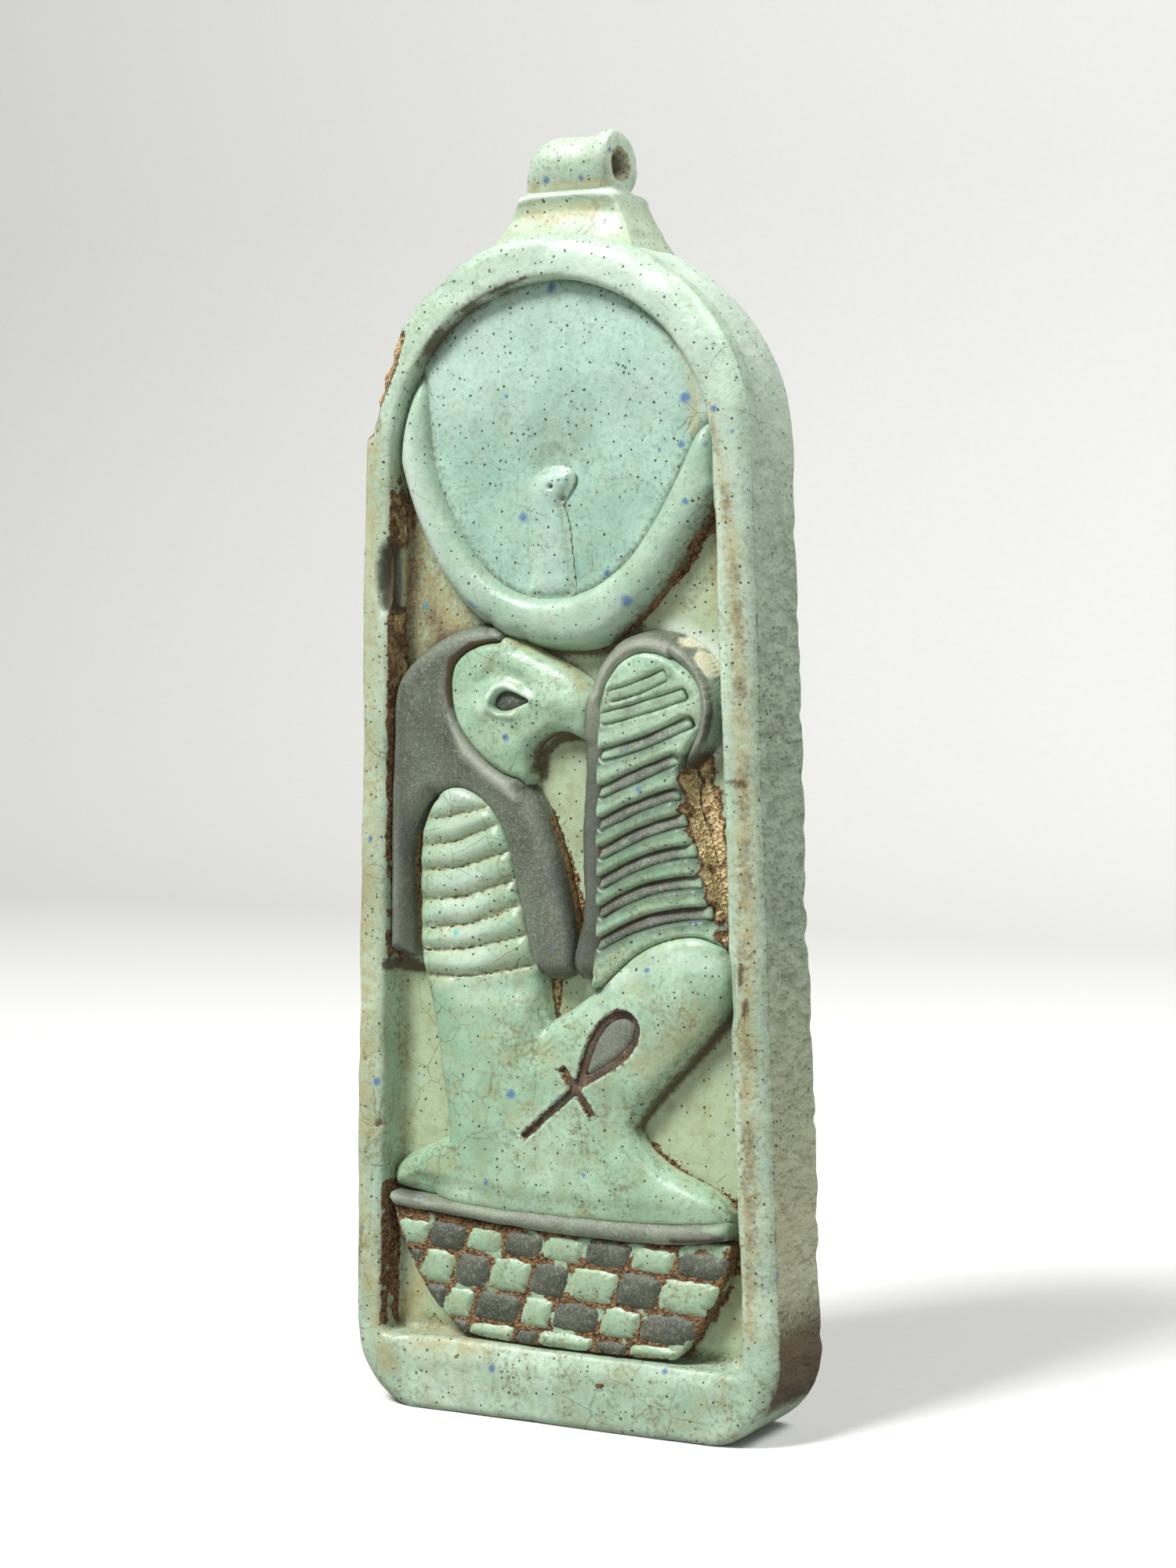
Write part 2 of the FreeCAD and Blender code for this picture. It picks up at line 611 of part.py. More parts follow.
def make_body(body):
    drop = size("body_drop")
    solid = rounded_front(slab(body, floor, drop), drop, size("body_arris"))
    line, filling, whole = ankh_faces()
    solid = solid.cut(cell(whole, drop, size("ankh_cell_depth")))
    for shares in rib_groove_shares:
        groove = band_face(shares, size("rib_groove_width"))
        groove.translate(Vector(0, front + drop + size("rib_groove_depth"), 0))
        reach = -size("rib_groove_depth") - size("overrun")
        solid = solid.cut(groove.extrude(Vector(0, reach, 0)))
    placed("seated_body", solid)
    back = front + drop + size("ankh_cell_depth")
    placed("ankh", slab(line, back, size("ankh_drop")))
    placed("ankh_filling", slab(filling, back, size("ankh_fill_drop")))


def make_feather(edge, vane):
    drop = size("feather_rim_drop")
    placed("feather_rim", rounded_front(slab(edge, floor, drop), drop, size("inlay_arris")))
    drop = size("vane_drop")
    solid = slab(vane, floor, drop)
    back = front + drop + size("barb_cell_depth")
    for number, shares in enumerate(barb_shares, start=1):
        barb = band_face(shares, size("barb_width"))
        solid = solid.cut(cell(barb, drop, size("barb_cell_depth")))
        placed("feather_barb_%d" % number, slab(barb, back, size("barb_drop")))
    placed("feather_vane", solid)


def check_corner(upright_share, line_share, middle_share):
    across = upright_share + upright_lean_share * (line_share - middle_share)
    return spot(across, line_share - row_fall_share * across)


def make_basket(rim, bed):
    drop = size("rim_drop")
    placed("basket_rim", rounded_front(slab(rim, floor, drop), drop, size("rim_arris")))
    placed("basket_bed", slab(bed, floor, size("bed_drop")))
    back = front + size("bed_drop")
    bedding = grown(bed, -size("grout_gap") / 2)
    for line, uprights in enumerate(check_upright_shares):
        top_share = check_row_shares[line]
        foot_share = check_row_shares[line + 1]
        middle_share = (top_share + foot_share) / 2
        for place in range(len(uprights) - 1):
            corners = [check_corner(uprights[place], foot_share, middle_share),
                       check_corner(uprights[place + 1], foot_share, middle_share),
                       check_corner(uprights[place + 1], top_share, middle_share),
                       check_corner(uprights[place], top_share, middle_share)]
            outline = Part.Face(Part.makePolygon(corners + corners[:1]))
            tessera = grown(outline, -size("grout_gap") / 2).common(bedding).Faces[0]
            solid = slab(tessera, back, size("tessera_drop"))
            dark = (place % 2 == 0) == dark_first[line]
            colour = "dark" if dark else "light"
            placed("check_%s_%d_%d" % (colour, line + 1, place + 1), solid)


def make_figures():
    gap = size("seam_gap")
    crescent = in_field(outline_face(crescent_shares, moon_spot)).Faces[0]
    rim = in_field(outline_face(rim_shares)).Faces[0]
    bed = without(in_field(outline_face(bed_shares)), [rim], gap)
    wig = without(in_field(outline_face(wig_shares)), [crescent], gap)
    body = without(in_field(outline_face(body_shares)), [wig, rim], gap)
    edge = without(in_field(outline_face(feather_rim_shares)), [crescent, body, wig], gap)
    head = without(outline_face(head_shares), [wig, edge, crescent], gap)
    vane = without(in_field(outline_face(vane_shares)), [edge, body], gap)
    make_moon(crescent)
    make_wig(wig)
    make_head(head)
    make_body(body)
    make_feather(edge, vane)
    make_basket(rim, bed)


tablet = make_tablet()
loop = make_suspension_loop()
make_figures()
doc.recompute()

for each in doc.Objects:
    if "Invalid" in each.State or "Error" in each.State:
        raise RuntimeError("%s did not build" % each.Name)

pieces = [tablet, loop]
pieces += [each for each in doc.Objects if each.TypeId == "Part::Feature"]
for piece in pieces:
    shape = piece.Shape
    if shape.isNull() or not shape.isValid() or len(shape.Solids) != 1:
        raise RuntimeError("%s is not one sound solid" % piece.Label)
    print("%-18s %8.2f" % (piece.Label, shape.Volume))
for piece in pieces:
    piece.Shape.exportStep("parts/%s.step" % piece.Label)
print(len(pieces), "pieces")
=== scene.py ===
import math

import bmesh
import bpy
import numpy as np
from mathutils import Matrix, Vector, kdtree, noise


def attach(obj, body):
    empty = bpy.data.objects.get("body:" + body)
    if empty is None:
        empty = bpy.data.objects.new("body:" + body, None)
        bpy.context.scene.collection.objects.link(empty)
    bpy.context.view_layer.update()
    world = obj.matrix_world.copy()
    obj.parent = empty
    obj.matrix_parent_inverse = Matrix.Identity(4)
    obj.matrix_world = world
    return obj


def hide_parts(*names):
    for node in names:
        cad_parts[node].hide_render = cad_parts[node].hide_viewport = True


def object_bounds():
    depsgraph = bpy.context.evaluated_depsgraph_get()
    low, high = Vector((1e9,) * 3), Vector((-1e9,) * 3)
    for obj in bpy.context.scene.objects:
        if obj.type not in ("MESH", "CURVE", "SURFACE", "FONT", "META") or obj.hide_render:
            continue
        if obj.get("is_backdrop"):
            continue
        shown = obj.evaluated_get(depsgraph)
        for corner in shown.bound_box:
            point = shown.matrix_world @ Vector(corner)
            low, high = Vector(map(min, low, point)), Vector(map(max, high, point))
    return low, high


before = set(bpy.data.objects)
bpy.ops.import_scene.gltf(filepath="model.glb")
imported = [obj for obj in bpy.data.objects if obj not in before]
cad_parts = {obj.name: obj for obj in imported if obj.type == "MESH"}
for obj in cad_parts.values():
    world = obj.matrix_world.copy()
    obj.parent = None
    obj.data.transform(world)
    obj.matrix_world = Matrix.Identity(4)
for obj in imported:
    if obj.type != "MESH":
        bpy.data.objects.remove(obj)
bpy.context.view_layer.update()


# Tablet
# A slab of quartz paste pressed in a mould, fired with a pale green glaze, with a sunk field.
# Wear has rounded its arrises, chipped one shoulder and bared the brown core along the field's edge.

mm = 0.001


def solid_of(node):
    # The solid of a node, with its loose triangles joined
    solid = bmesh.new()
    solid.from_mesh(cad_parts[node].data)
    bmesh.ops.remove_doubles(solid, verts=solid.verts, dist=0.001 * mm)
    return solid


def worn_copy(node, grain, softness):
    # An even skin over the solid of a node, in millimetres, with its edges softened as glaze softens them
    skin = solid_of(node)
    bmesh.ops.scale(skin, vec=(1 / mm, 1 / mm, 1 / mm), verts=skin.verts)
    rough = bpy.data.objects.new("rough", bpy.data.meshes.new("rough"))
    skin.to_mesh(rough.data)
    skin.free()
    bpy.context.scene.collection.objects.link(rough)
    even = rough.modifiers.new("even", "REMESH")
    even.mode = "VOXEL"
    even.voxel_size = grain
    rough.modifiers.new("soft", "SMOOTH").iterations = softness
    made = bpy.data.meshes.new_from_object(rough.evaluated_get(bpy.context.evaluated_depsgraph_get()))
    bpy.data.objects.remove(rough)
    made.shade_smooth()
    piece = bpy.data.objects.new("worn_" + node, made)
    bpy.context.scene.collection.objects.link(piece)
    return piece


def points_of(piece):
    # The piece's points and their outward directions, in millimetres
    points = np.zeros(len(piece.data.vertices) * 3, np.float32)
    piece.data.vertices.foreach_get("co", points)
    outward = np.zeros(len(points), np.float32)
    piece.data.vertex_normals.foreach_get("vector", outward)
    return points.reshape(-1, 3).astype(float), outward.reshape(-1, 3).astype(float)


def moved(piece, points):
    # Moves the piece's points to these places, and reads them again with their new directions
    piece.data.vertices.foreach_set("co", points.astype(np.float32).ravel())
    piece.data.update()
    return points_of(piece)


def push(points, outward, depth):
    points += outward * depth[:, None]


def held(values, most=1):
    # The values, held between 0 and the most
    return np.clip(values, 0, most)


def nearness(points, path):
    # How near each point is to a tool drawn along a path of x, z and reach: 0 outside, 1 on its line
    near = np.zeros(len(points))
    flat = points[:, [0, 2]]
    for (x1, z1, reach1), (x2, z2, reach2) in zip(path, path[1:] + path[-1:]):
        start, run = np.array([x1, z1]), np.array([x2 - x1, z2 - z1])
        along = held((flat - start) @ run / max(run @ run, 1e-9))
        gap = np.linalg.norm(flat - start - along[:, None] * run, axis=1)
        near = np.maximum(near, held(1 - gap / (reach1 + along * (reach2 - reach1))))
    return near


def stroke(points, path):
    near = nearness(points, path)
    return near * near * (3 - 2 * near)


def unevenness(points, size):
    # A smooth random swell, from -1 to 1, with lumps of about this size
    return np.array([noise.noise(Vector(point / size)) for point in points])


def around(piece, values):
    # The mean of each point's neighbours
    edges = np.zeros(len(piece.data.edges) * 2, np.int32)
    piece.data.edges.foreach_get("vertices", edges)
    first, second = edges.reshape(-1, 2).T
    count = np.bincount(first, minlength=len(values)) + np.bincount(second, minlength=len(values))
    total = np.bincount(first, values[second], len(values)) + np.bincount(second, values[first], len(values))
    return total / np.maximum(count, 1)


def relax(piece, points, share, rounds):
    for _ in range(rounds):
        for axis in range(3):
            points[:, axis] += share * (around(piece, points[:, axis]) - points[:, axis])
    return points


def hollowness(piece, points, outward, rounds):
    # Above 0 in a hollow and below 0 on an arris
    middle = np.stack([around(piece, points[:, axis]) for axis in range(3)], axis=1)
    bend = ((middle - points) * outward).sum(axis=1)
    for _ in range(rounds):
        bend = (bend + around(piece, bend)) / 2
    return bend


def outline_of(node):
    # Places along the edge of the node's back face, at most 0.1 mm apart
    places = []
    solid = solid_of(node)
    back = max(vert.co.y for vert in solid.verts)
    for edge in solid.edges:
        ends = [vert.co for vert in edge.verts]
        flat = all(back - end.y < 0.01 * mm for end in ends)
        if flat and len(edge.link_faces) == 2 and edge.calc_face_angle(0) > 0.5:
            steps = max(1, int(edge.calc_length() / (0.1 * mm)))
            places += [ends[0].lerp(ends[1], step / steps) / mm for step in range(steps)]
    solid.free()
    return [(place.x, 0, place.z) for place in places]


def tree_of(places):
    tree = kdtree.KDTree(len(places))
    for number, place in enumerate(places):
        tree.insert(place, number)
    tree.balance()
    return tree


def gap_to(places, points):
    # How far each point lies from the nearest of these places, seen from the front
    if not places:
        return np.full(len(points), 99.0)
    tree = tree_of(places)
    return np.array([tree.find((x, 0, z))[2] for x, y, z in points])


figures = ["lunar_disc", "lunar_crescent", "wig", "falcon_head", "seated_body", "feather_rim",
           "feather_vane", "basket_rim", "basket_bed"]
outlines = {node: outline_of(node) for node in figures}


def paint(piece, name, values):
    layer = piece.data.attributes.new(name, "FLOAT", "POINT")
    layer.data.foreach_set("value", held(values).astype(np.float32))


def seat(piece, node, finish):
    # Back to metres, and onto the body in place of the plain solid
    piece.data.transform(Matrix.Scale(mm, 4))
    piece.data.materials.clear()
    piece.data.materials.append(finish)
    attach(piece, "root")
    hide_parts(node)


def tint(code):
    # The linear colour of an sRGB hex value
    shares = [int(code[place:place + 2], 16) / 255 for place in (0, 2, 4)]
    return tuple(s / 12.92 if s <= 0.04045 else ((s + 0.055) / 1.055) ** 2.4 for s in shares) + (1.0,)


def fill(tree, node, inputs):
    # Sets inputs of a node, each to a value or to another node's output
    for socket, value in inputs.items():
        if isinstance(value, bpy.types.NodeSocket):
            tree.links.new(value, node.inputs[socket])
        else:
            node.inputs[socket].default_value = value


def add(tree, kind, inputs, **settings):
    # Adds a node with its settings and inputs, and gives its outputs. The inputs of a map range are its value
    # (0), the range that comes in (1, 2) and the range that goes out (3, 4).
    node = tree.nodes.new("ShaderNode" + kind)
    for name, value in settings.items():
        setattr(node, name, value)
    fill(tree, node, inputs)
    return node.outputs


def coated(tree, colour, coat, most, value, low=0.0, high=1.0, *masks):
    # The colour under a coat, a hex value or another colour, that thickens as the value goes from low to high
    share = add(tree, "MapRange", {0: value, 1: low, 2: high, 4: most})[0]
    for mask in masks:
        share = add(tree, "Math", {0: share, 1: mask}, operation="MULTIPLY")[0]
    coat = tint(coat) if isinstance(coat, str) else coat
    return add(tree, "Mix", {0: share, 6: colour, 7: coat}, data_type="RGBA")[2]


def specked(tree, place, colour, spacing, rarity, reach, code, least=0.02, edge=0.05, most=0.85):
    # Separate specks: cells of this spacing, of which the share above the rarity holds one. The reach is the
    # radius of the largest, as a share of the spacing.
    cells = add(tree, "TexVoronoi", {"Vector": place, "Scale": 1 / (spacing * mm)})
    chance = add(tree, "SeparateColor", {0: cells["Color"]})[0]
    chosen = add(tree, "Math", {0: chance, 1: rarity}, operation="GREATER_THAN")[0]
    size = add(tree, "MapRange", {0: chance, 1: rarity, 3: least, 4: reach})[0]
    size = add(tree, "Math", {0: size, 1: chosen}, operation="MULTIPLY")[0]
    inside = add(tree, "Math", {0: size, 1: cells["Distance"]}, operation="SUBTRACT")[0]
    return coated(tree, colour, code, most, inside, 0.0, edge)


def bare_core(tree, place, core):
    # The core under the glaze: quartz grains of 0.22 mm, from rust brown to sand where most is gone
    grain = add(tree, "TexVoronoi", {"Vector": place, "Scale": 1 / (0.22 * mm)})
    tone = add(tree, "SeparateColor", {0: grain["Color"]})[1]
    rusty = coated(tree, tint("402D1D"), "927049", 1.0, tone)
    sandy = coated(tree, tint("94794C"), "E0CC9C", 1.0, tone)
    return grain["Distance"], coated(tree, rusty, sandy, 1.0, core, 0.72, 0.95)


def new_finish(title, names, noises):
    # A material with its node tree, shader, place and painted marks, and its noises, each given by the size of
    # its lumps in millimetres, its detail and its roughness
    finish = bpy.data.materials.new(title)
    finish.use_nodes = True
    tree = finish.node_tree
    place = add(tree, "TexCoord", {})["Object"]
    painted = {name: add(tree, "Attribute", {}, attribute_name=name)["Fac"] for name in names}
    lumps = [add(tree, "TexNoise", {"Vector": place, "Scale": 1 / (size * mm), "Detail": detail,
                                    "Roughness": rough}) for size, detail, rough in noises]
    return finish, tree, tree.nodes["Principled BSDF"], place, painted, lumps


def frayed(tree, painted, *edges):
    # Painted marks with a weighted noise added, so that their edges come out ragged
    return [add(tree, "Math", {0: lumps[0], 1: weight, 2: painted[name]}, operation="MULTIPLY_ADD")[0]
            for name, lumps, weight in edges]


def fired_paste(title, pale, deep, gloss, flecks, blue_marks=()):
    # Quartz paste with its glaze fired on: cloudy, speckled, stained in hollows, with painted shade and painted
    # highlights where they are marked, granular where broken.
    # Clouds in the glaze 7 mm across, mottling of 0.8 mm and grit of 0.35 mm, then three sorts of stain
    finish, tree, shader, place, painted, lumps = new_finish(
        title, ("core", "stain", "ground", "dirt_and_shade", "rough", "wear_and_highlight", "grey"),
        ((7.0, 3.0, 0.62), (0.8, 3.0, 0.62), (0.35, 3.0, 0.62),
         (1.7, 6.0, 0.62), (2.8, 4.0, 0.62), (1.6, 6.0, 0.62)))
    cloud, mottle, grit, blot, pepper, scum = lumps
    bent = add(tree, "VectorMath", {0: mottle[1], 1: (0.35 * mm,) * 3, 2: place}, operation="MULTIPLY_ADD")[0]
    colour = coated(tree, tint(pale), deep, 1.0, cloud[0], 0.36, 0.64)
    colour = coated(tree, colour, deep, 0.7, mottle[0], 0.46, 0.74)
    colour = coated(tree, colour, "66785F", 0.4, grit[0], 0.5, 0.7)

    # Buff and olive stain, stronger towards the foot, and thin yellow-green glaze on the sunk ground
    height = add(tree, "SeparateXYZ", {0: place})[2]
    soak = add(tree, "MapRange", {0: height, 1: 70 * mm, 2: 30 * mm, 3: 0.3})[0]
    colour = coated(tree, colour, "9A986A", 0.5, blot[0], 0.46, 0.7, soak)
    in_grit = add(tree, "MapRange", {0: grit[0], 1: 0.42, 2: 0.6})[0]
    colour = coated(tree, colour, "6E6238", 0.5, pepper[0], 0.5, 0.66, in_grit, soak)
    colour = coated(tree, colour, "A8B894", 0.8, painted["ground"])
    colour = coated(tree, colour, "8F8F62", 0.6, scum[0], 0.48, 0.68, painted["ground"])
    colour = coated(tree, colour, "A8945E", 0.75, mottle[0], 0.2, 0.6, painted["stain"])
    # Glaze worn pale, and painted highlights, in pale mint
    colour = coated(tree, colour, "D6E2D8", 0.75, painted["wear_and_highlight"])

    # The rough cast side: greyer, buff near the foot, with pits 0.9 mm high and twice that from front to back
    drawn_out = add(tree, "VectorMath", {0: place, 1: (1.0, 0.55, 1.0)}, operation="MULTIPLY")[0]
    pits = add(tree, "TexNoise", {"Vector": drawn_out, "Scale": 1 / (0.9 * mm), "Detail": 2.0,
                                  "Roughness": 0.62})[0]
    pitted = add(tree, "MapRange", {0: pits, 1: 0.3, 2: 0.66})[0]
    side = coated(tree, tint("5C6A58"), "8C9B86", 1.0, pitted)
    side = coated(tree, side, "A7A27E", 0.75, height, 36 * mm, 16 * mm)
    colour = coated(tree, colour, side, 0.8, painted["rough"])

    # Grey paste bled into the glaze beside a dark inlay, dark glaze pooled in a hollow, and painted shade in
    # dark grey-green where it is marked
    greyed, soil_and_shade, worn_off = frayed(tree, painted, ("grey", mottle, 0.5), ("dirt_and_shade", grit, 0.9),
                                  ("core", grit, 0.7))
    colour = coated(tree, colour, "4A5C4D", 0.9, greyed, 0.35, 0.95)

    # Iron specks of up to 0.25 mm across, and cobalt and copper ones of up to 0.6 mm
    for spacing, rarity, reach, code in ((0.45, 1 - flecks, 0.27, "1F2219"), (1.0, 0.5, 0.14, "42301F"),
                                         (2.9, 0.55, 0.10, "3A6AA0"), (3.7, 0.62, 0.12, "5FAEB0")):
        colour = specked(tree, bent, colour, spacing, rarity, reach, code)
    # The blue ones that are large stand one by one, moved on by as much as the bending moves all places
    for x, y, z, reach in blue_marks:
        middle = tuple((along + 0.17) * mm for along in (x, y, z))
        apart = add(tree, "VectorMath", {0: bent, 1: middle}, operation="DISTANCE")["Value"]
        apart = add(tree, "Math", {0: grit[0], 1: 0.9 * reach * mm, 2: apart}, operation="MULTIPLY_ADD")[0]
        colour = coated(tree, colour, "3A659C", 0.8, apart, 1.6 * reach * mm, 0.9 * reach * mm)

    # Fine crazing, in cells of 2.6 mm, that shows in some places only
    crack = add(tree, "TexVoronoi", {"Vector": bent, "Scale": 1 / (2.6 * mm)}, feature="DISTANCE_TO_EDGE")[0]
    in_places = add(tree, "MapRange", {0: cloud[0], 1: 0.5, 2: 0.62})[0]
    colour = coated(tree, colour, "65512F", 0.6, crack, 0.016, 0.004, in_places)

    # Burial dirt in the hollows, painted shade in the same dark brown where it is marked, and the core where
    # the glaze has broken off
    soiled_and_shaded = add(tree, "MapRange", {0: soil_and_shade, 1: 0.62, 2: 1.2})[0]
    colour = coated(tree, colour, "4E3C28", 0.85, soiled_and_shaded)
    relief, bare = bare_core(tree, place, painted["core"])
    broken = add(tree, "MapRange", {0: worn_off, 1: 0.58, 2: 0.72})[0]
    colour = coated(tree, colour, bare, 1.0, broken)

    # Satin glaze with a soft ripple, a dull rough side and a dry gritty core
    dull = painted["rough"]
    for duller in (broken, soiled_and_shaded):
        dull = add(tree, "Math", {0: dull, 1: duller}, operation="MAXIMUM")[0]
    bumps = 0.0
    for wave, where, depth in ((mottle[0], 1.0, 0.08), (pitted, painted["rough"], 0.22), (relief, broken, 0.2)):
        wave = add(tree, "Math", {0: wave, 1: where}, operation="MULTIPLY")[0]
        bumps = add(tree, "Math", {0: wave, 1: depth * mm, 2: bumps}, operation="MULTIPLY_ADD")[0]
    fill(tree, shader, {
        "Base Color": colour, "Roughness": add(tree, "MapRange", {0: dull, 3: gloss, 4: 0.9})[0],
        "Normal": add(tree, "Bump", {"Height": bumps, "Distance": 1.0, "Strength": 0.9})[0], "IOR": 1.5,
        "Subsurface Weight": 0.12, "Subsurface Radius": (0.9, 1.0, 0.8), "Subsurface Scale": 0.5 * mm})
    return finish


# The arch is a half round of this radius about this height
arch_height, arch_radius = 68.2, 15.1
scoop_x, scoop_z = -12.95, 59.7

tablet = worn_copy("tablet", 0.29, 4)
points, outward = points_of(tablet)
x, y, z = points.T
beside = gap_to([place for node in figures for place in outlines[node]], points)
lying = held(-outward[:, 1])
in_field = (y > -4.25) & (y < -1.4) & (np.abs(x) < 14.8)
on_floor = in_field & (y > -2.4) & (lying > 0.5)
outside = np.abs(x) > 14.9
half_width = arch_radius + 1.8 * held((arch_height - z) / arch_height)
from_middle = np.hypot(x, np.maximum(z - arch_height, 0))
past_edge = from_middle - half_width
at_side = held((past_edge + 1.3) / 0.8) * held((y + 4.15) / 0.9)
at_back = held((y - 3.9) / 0.4)
side_grit = at_side * np.clip((82 - z) / 30, 0.15, 1)

push(points, outward, 0.14 * unevenness(points, 8.0) + 0.06 * unevenness(points + 40, 2.6))
# The right arris is the most worn
fall = held((past_edge + 2.1) / 2.1) * (x > 0) * held(-2.6 - y)
y += 0.6 * fall ** 2
drawn_out = points * (1.0, 0.65, 1.0)
hollows = 0.38 * held(unevenness(drawn_out, 1.4) + 0.15) ** 1.6 + 0.08 * unevenness(drawn_out + 7, 2.6)
push(points, outward, -np.maximum(side_grit, 0.4 * at_back) * hollows)
# Chip off the left shoulder's arris, and dents in the arch
on_arris = held((from_middle - 12.9) / 0.8) * held((-0.9 - y) / 1.6 + 0.7 * unevenness(points + 20, 1.4))
chip = on_arris * stroke(points, [(-11.9, 76.6, 0.7), (-13.2, 74.4, 1.35), (-14.2, 72.4, 1.25),
                                  (-14.6, 70.2, 0.8)])
push(points, outward, -0.8 * chip * (0.8 + 0.6 * unevenness(points, 1.1)))
dents = stroke(points, [(8.3, 80.6, 2.0)]) + stroke(points, [(-8.6, 80.2, 2.2)])
push(points, outward, -0.2 * dents * (y < 1.0))
# A scoop in the frame's left inner arris
inside = 1 - ((x - scoop_x) / 0.95) ** 2 - ((z - scoop_z) / 2.7) ** 2
scoop = held(inside) ** 0.7 * held((-2.3 - y) / 0.9)
y += 1.3 * scoop * np.maximum(lying, 0.5)
x -= 0.5 * scoop * (lying < 0.5)
beside_scoop = held((2.5 - np.abs(z - scoop_z)) * 2)
# The scoop's right rim, painted dark as the shadow in the hollow
scoop_rim_shadow = np.exp(-(inside / 0.35) ** 2) * (x > -13.1) * (np.abs(z - scoop_z) < 3) * (y < -2)
pits = sum(stroke(points, [spot]) for spot in ((-14.4, 20.5, 0.5), (-15.5, 25.2, 0.35), (3.6, 3.2, 0.4)))
y += 0.3 * pits * lying
# The foot band falls softly into the field, and a jog in the right inner edge
y += 0.4 * stroke(points, [(-12, 5.2, 1.4), (12, 5.2, 1.4)]) * lying
x += 0.3 * stroke(points, [(14.3, 33.0, 1.3), (14.3, 30.0, 1.3)]) * (outward[:, 0] < -0.2)
points, outward = moved(tablet, points)
x, y, z = points.T
bend = hollowness(tablet, points, outward, 6)
on_face = y < -4

patchy = unevenness(points + 3, 1.6)
ragged = unevenness(points, 0.7)


def bared(most, path):
    # Glaze gone along a path, in a ragged strip: rust brown up to 0.7 and sandy above that
    gone = stroke(points, path)
    return held(1.6 * gone + 1.1 * ragged * (gone > 0) - 0.2) * (most + 0.3 * patchy)


left_wall = held((0.75 - lying) * 4) * (x < 0)
core = np.maximum.reduce([
    left_wall * bared(0.84, [(-12.5, 67.5, 0.2), (-12.6, 65.0, 0.5), (-12.8, 62.0, 0.6), (-12.8, 58.0, 0.5),
                             (-13.1, 52.0, 0.5)]),
    left_wall * bared(0.72, [(-13.1, 52.0, 0.5), (-13.2, 49.0, 0.3), (-13.3, 42.0, 0.45), (-13.4, 36.0, 0.4),
                             (-13.6, 32.0, 0.2)]),
    left_wall * bared(0.7, [(-14.1, 16.0, 0.5), (-14.1, 14.0, 0.8), (-14.2, 9.5, 0.6), (-14.2, 6.0, 0.6)]),
    bared(0.6, [(-12.5, 66.3, 0.2), (-12.3, 64.8, 0.45), (-12.5, 61.5, 0.15), (-12.8, 55.0, 0.15),
                (-12.9, 51.5, 0.3)]),
    bared(0.62, [(-12.9, 49.0, 0.3), (-13.0, 44.0, 0.3), (-13.3, 33.0, 0.4)]),
    bared(1.0, [(10.9, 46.6, 1.0), (11.3, 43.5, 1.25), (12.2, 39.5, 1.2), (13.1, 35.0, 1.1)]),
    bared(0.7, [(6.5, 20.0, 0.5), (7.8, 18.9, 0.6), (9.5, 18.0, 0.3), (12.8, 16.5, 0.6)]),
    bared(0.8, [(-2.2, 44.4, 0.3), (-1.2, 42.5, 0.7), (-0.2, 40.2, 0.6), (1.4, 35.0, 0.8)]),
    bared(0.85, [(-0.9, 31.8, 1.0), (-1.1, 30.0, 0.7), (-1.2, 28.8, 0.9)]),
    bared(0.62, [(6.2, 56.8, 0.4), (9.5, 60.3, 0.8), (12.2, 64.5, 0.8)]),
    bared(0.62, [(3.0, 54.6, 0.2), (6.0, 56.9, 0.4)]),
    0.72 * held(0.7 - gap_to(outlines["basket_bed"], points) / 0.5 + 1.2 * ragged) * on_floor * (x > -7),
]) * in_field * (1 - held(scoop * 3)) * (1 - 0.8 * beside_scoop * (x < -12))
rust_spots = sum(stroke(points, [spot]) for spot in ((3.53, 3.3, 0.3), (-8.1, 4.15, 0.2), (-4.7, 4.3, 0.16)))
paint(tablet, "core", np.maximum.reduce([core, 0.86 * held(2.2 * chip), 0.7 * held(3 * rust_spots) * on_face]))
paint(tablet, "ground", on_floor * 1.0)
# Dark glaze pooled in the scoop, and painted shade in grey-green low on the right side
paint(tablet, "grey", np.maximum(0.95 * held(scoop * 2), 0.85 * at_side * held((12 - z) / 9)))

# Dirt in the hollows and pits, painted shadow along the scoop's right edge, and dirt and painted shade along
# these paths, each with its strength and where it can lie
beige = (y < -3.2) * stroke(points, [(12.6, 71.0, 0.5), (13.8, 64.5, 0.8), (14.4, 58.2, 0.9), (14.9, 43.0, 1.0),
                                     (15.1, 19.0, 1.0), (15.2, 8.0, 0.8)])
streaky = 0.8 + 1.2 * patchy
# These two are painted dark as the shadow in and beside the scoop
shadow_beside_rim = left_wall * np.exp(-((y + 3.5) / 0.6) ** 2) * in_field * held((2.5 - np.abs(z - 59.8)) * 2)
shadow_by_scoop = beside_scoop * held(x + 14.0) * (x < -12.4) * held((-2.5 - y) / 0.5)
dirt_and_shade = np.where(on_floor, 0.65 * np.exp(-beside / 0.5) * (0.7 + 0.7 * unevenness(points, 3.0)), 0)
dirt_and_shade += (held(bend * 12, 0.6) * (y > -4.2) + pits * on_face + 1.3 * scoop_rim_shadow + 1.1 * shadow_by_scoop
         + 1.3 * shadow_beside_rim + 0.4 * beige * streaky + 0.28 * held((z - 52) / 2) * (x < 0) * on_floor)
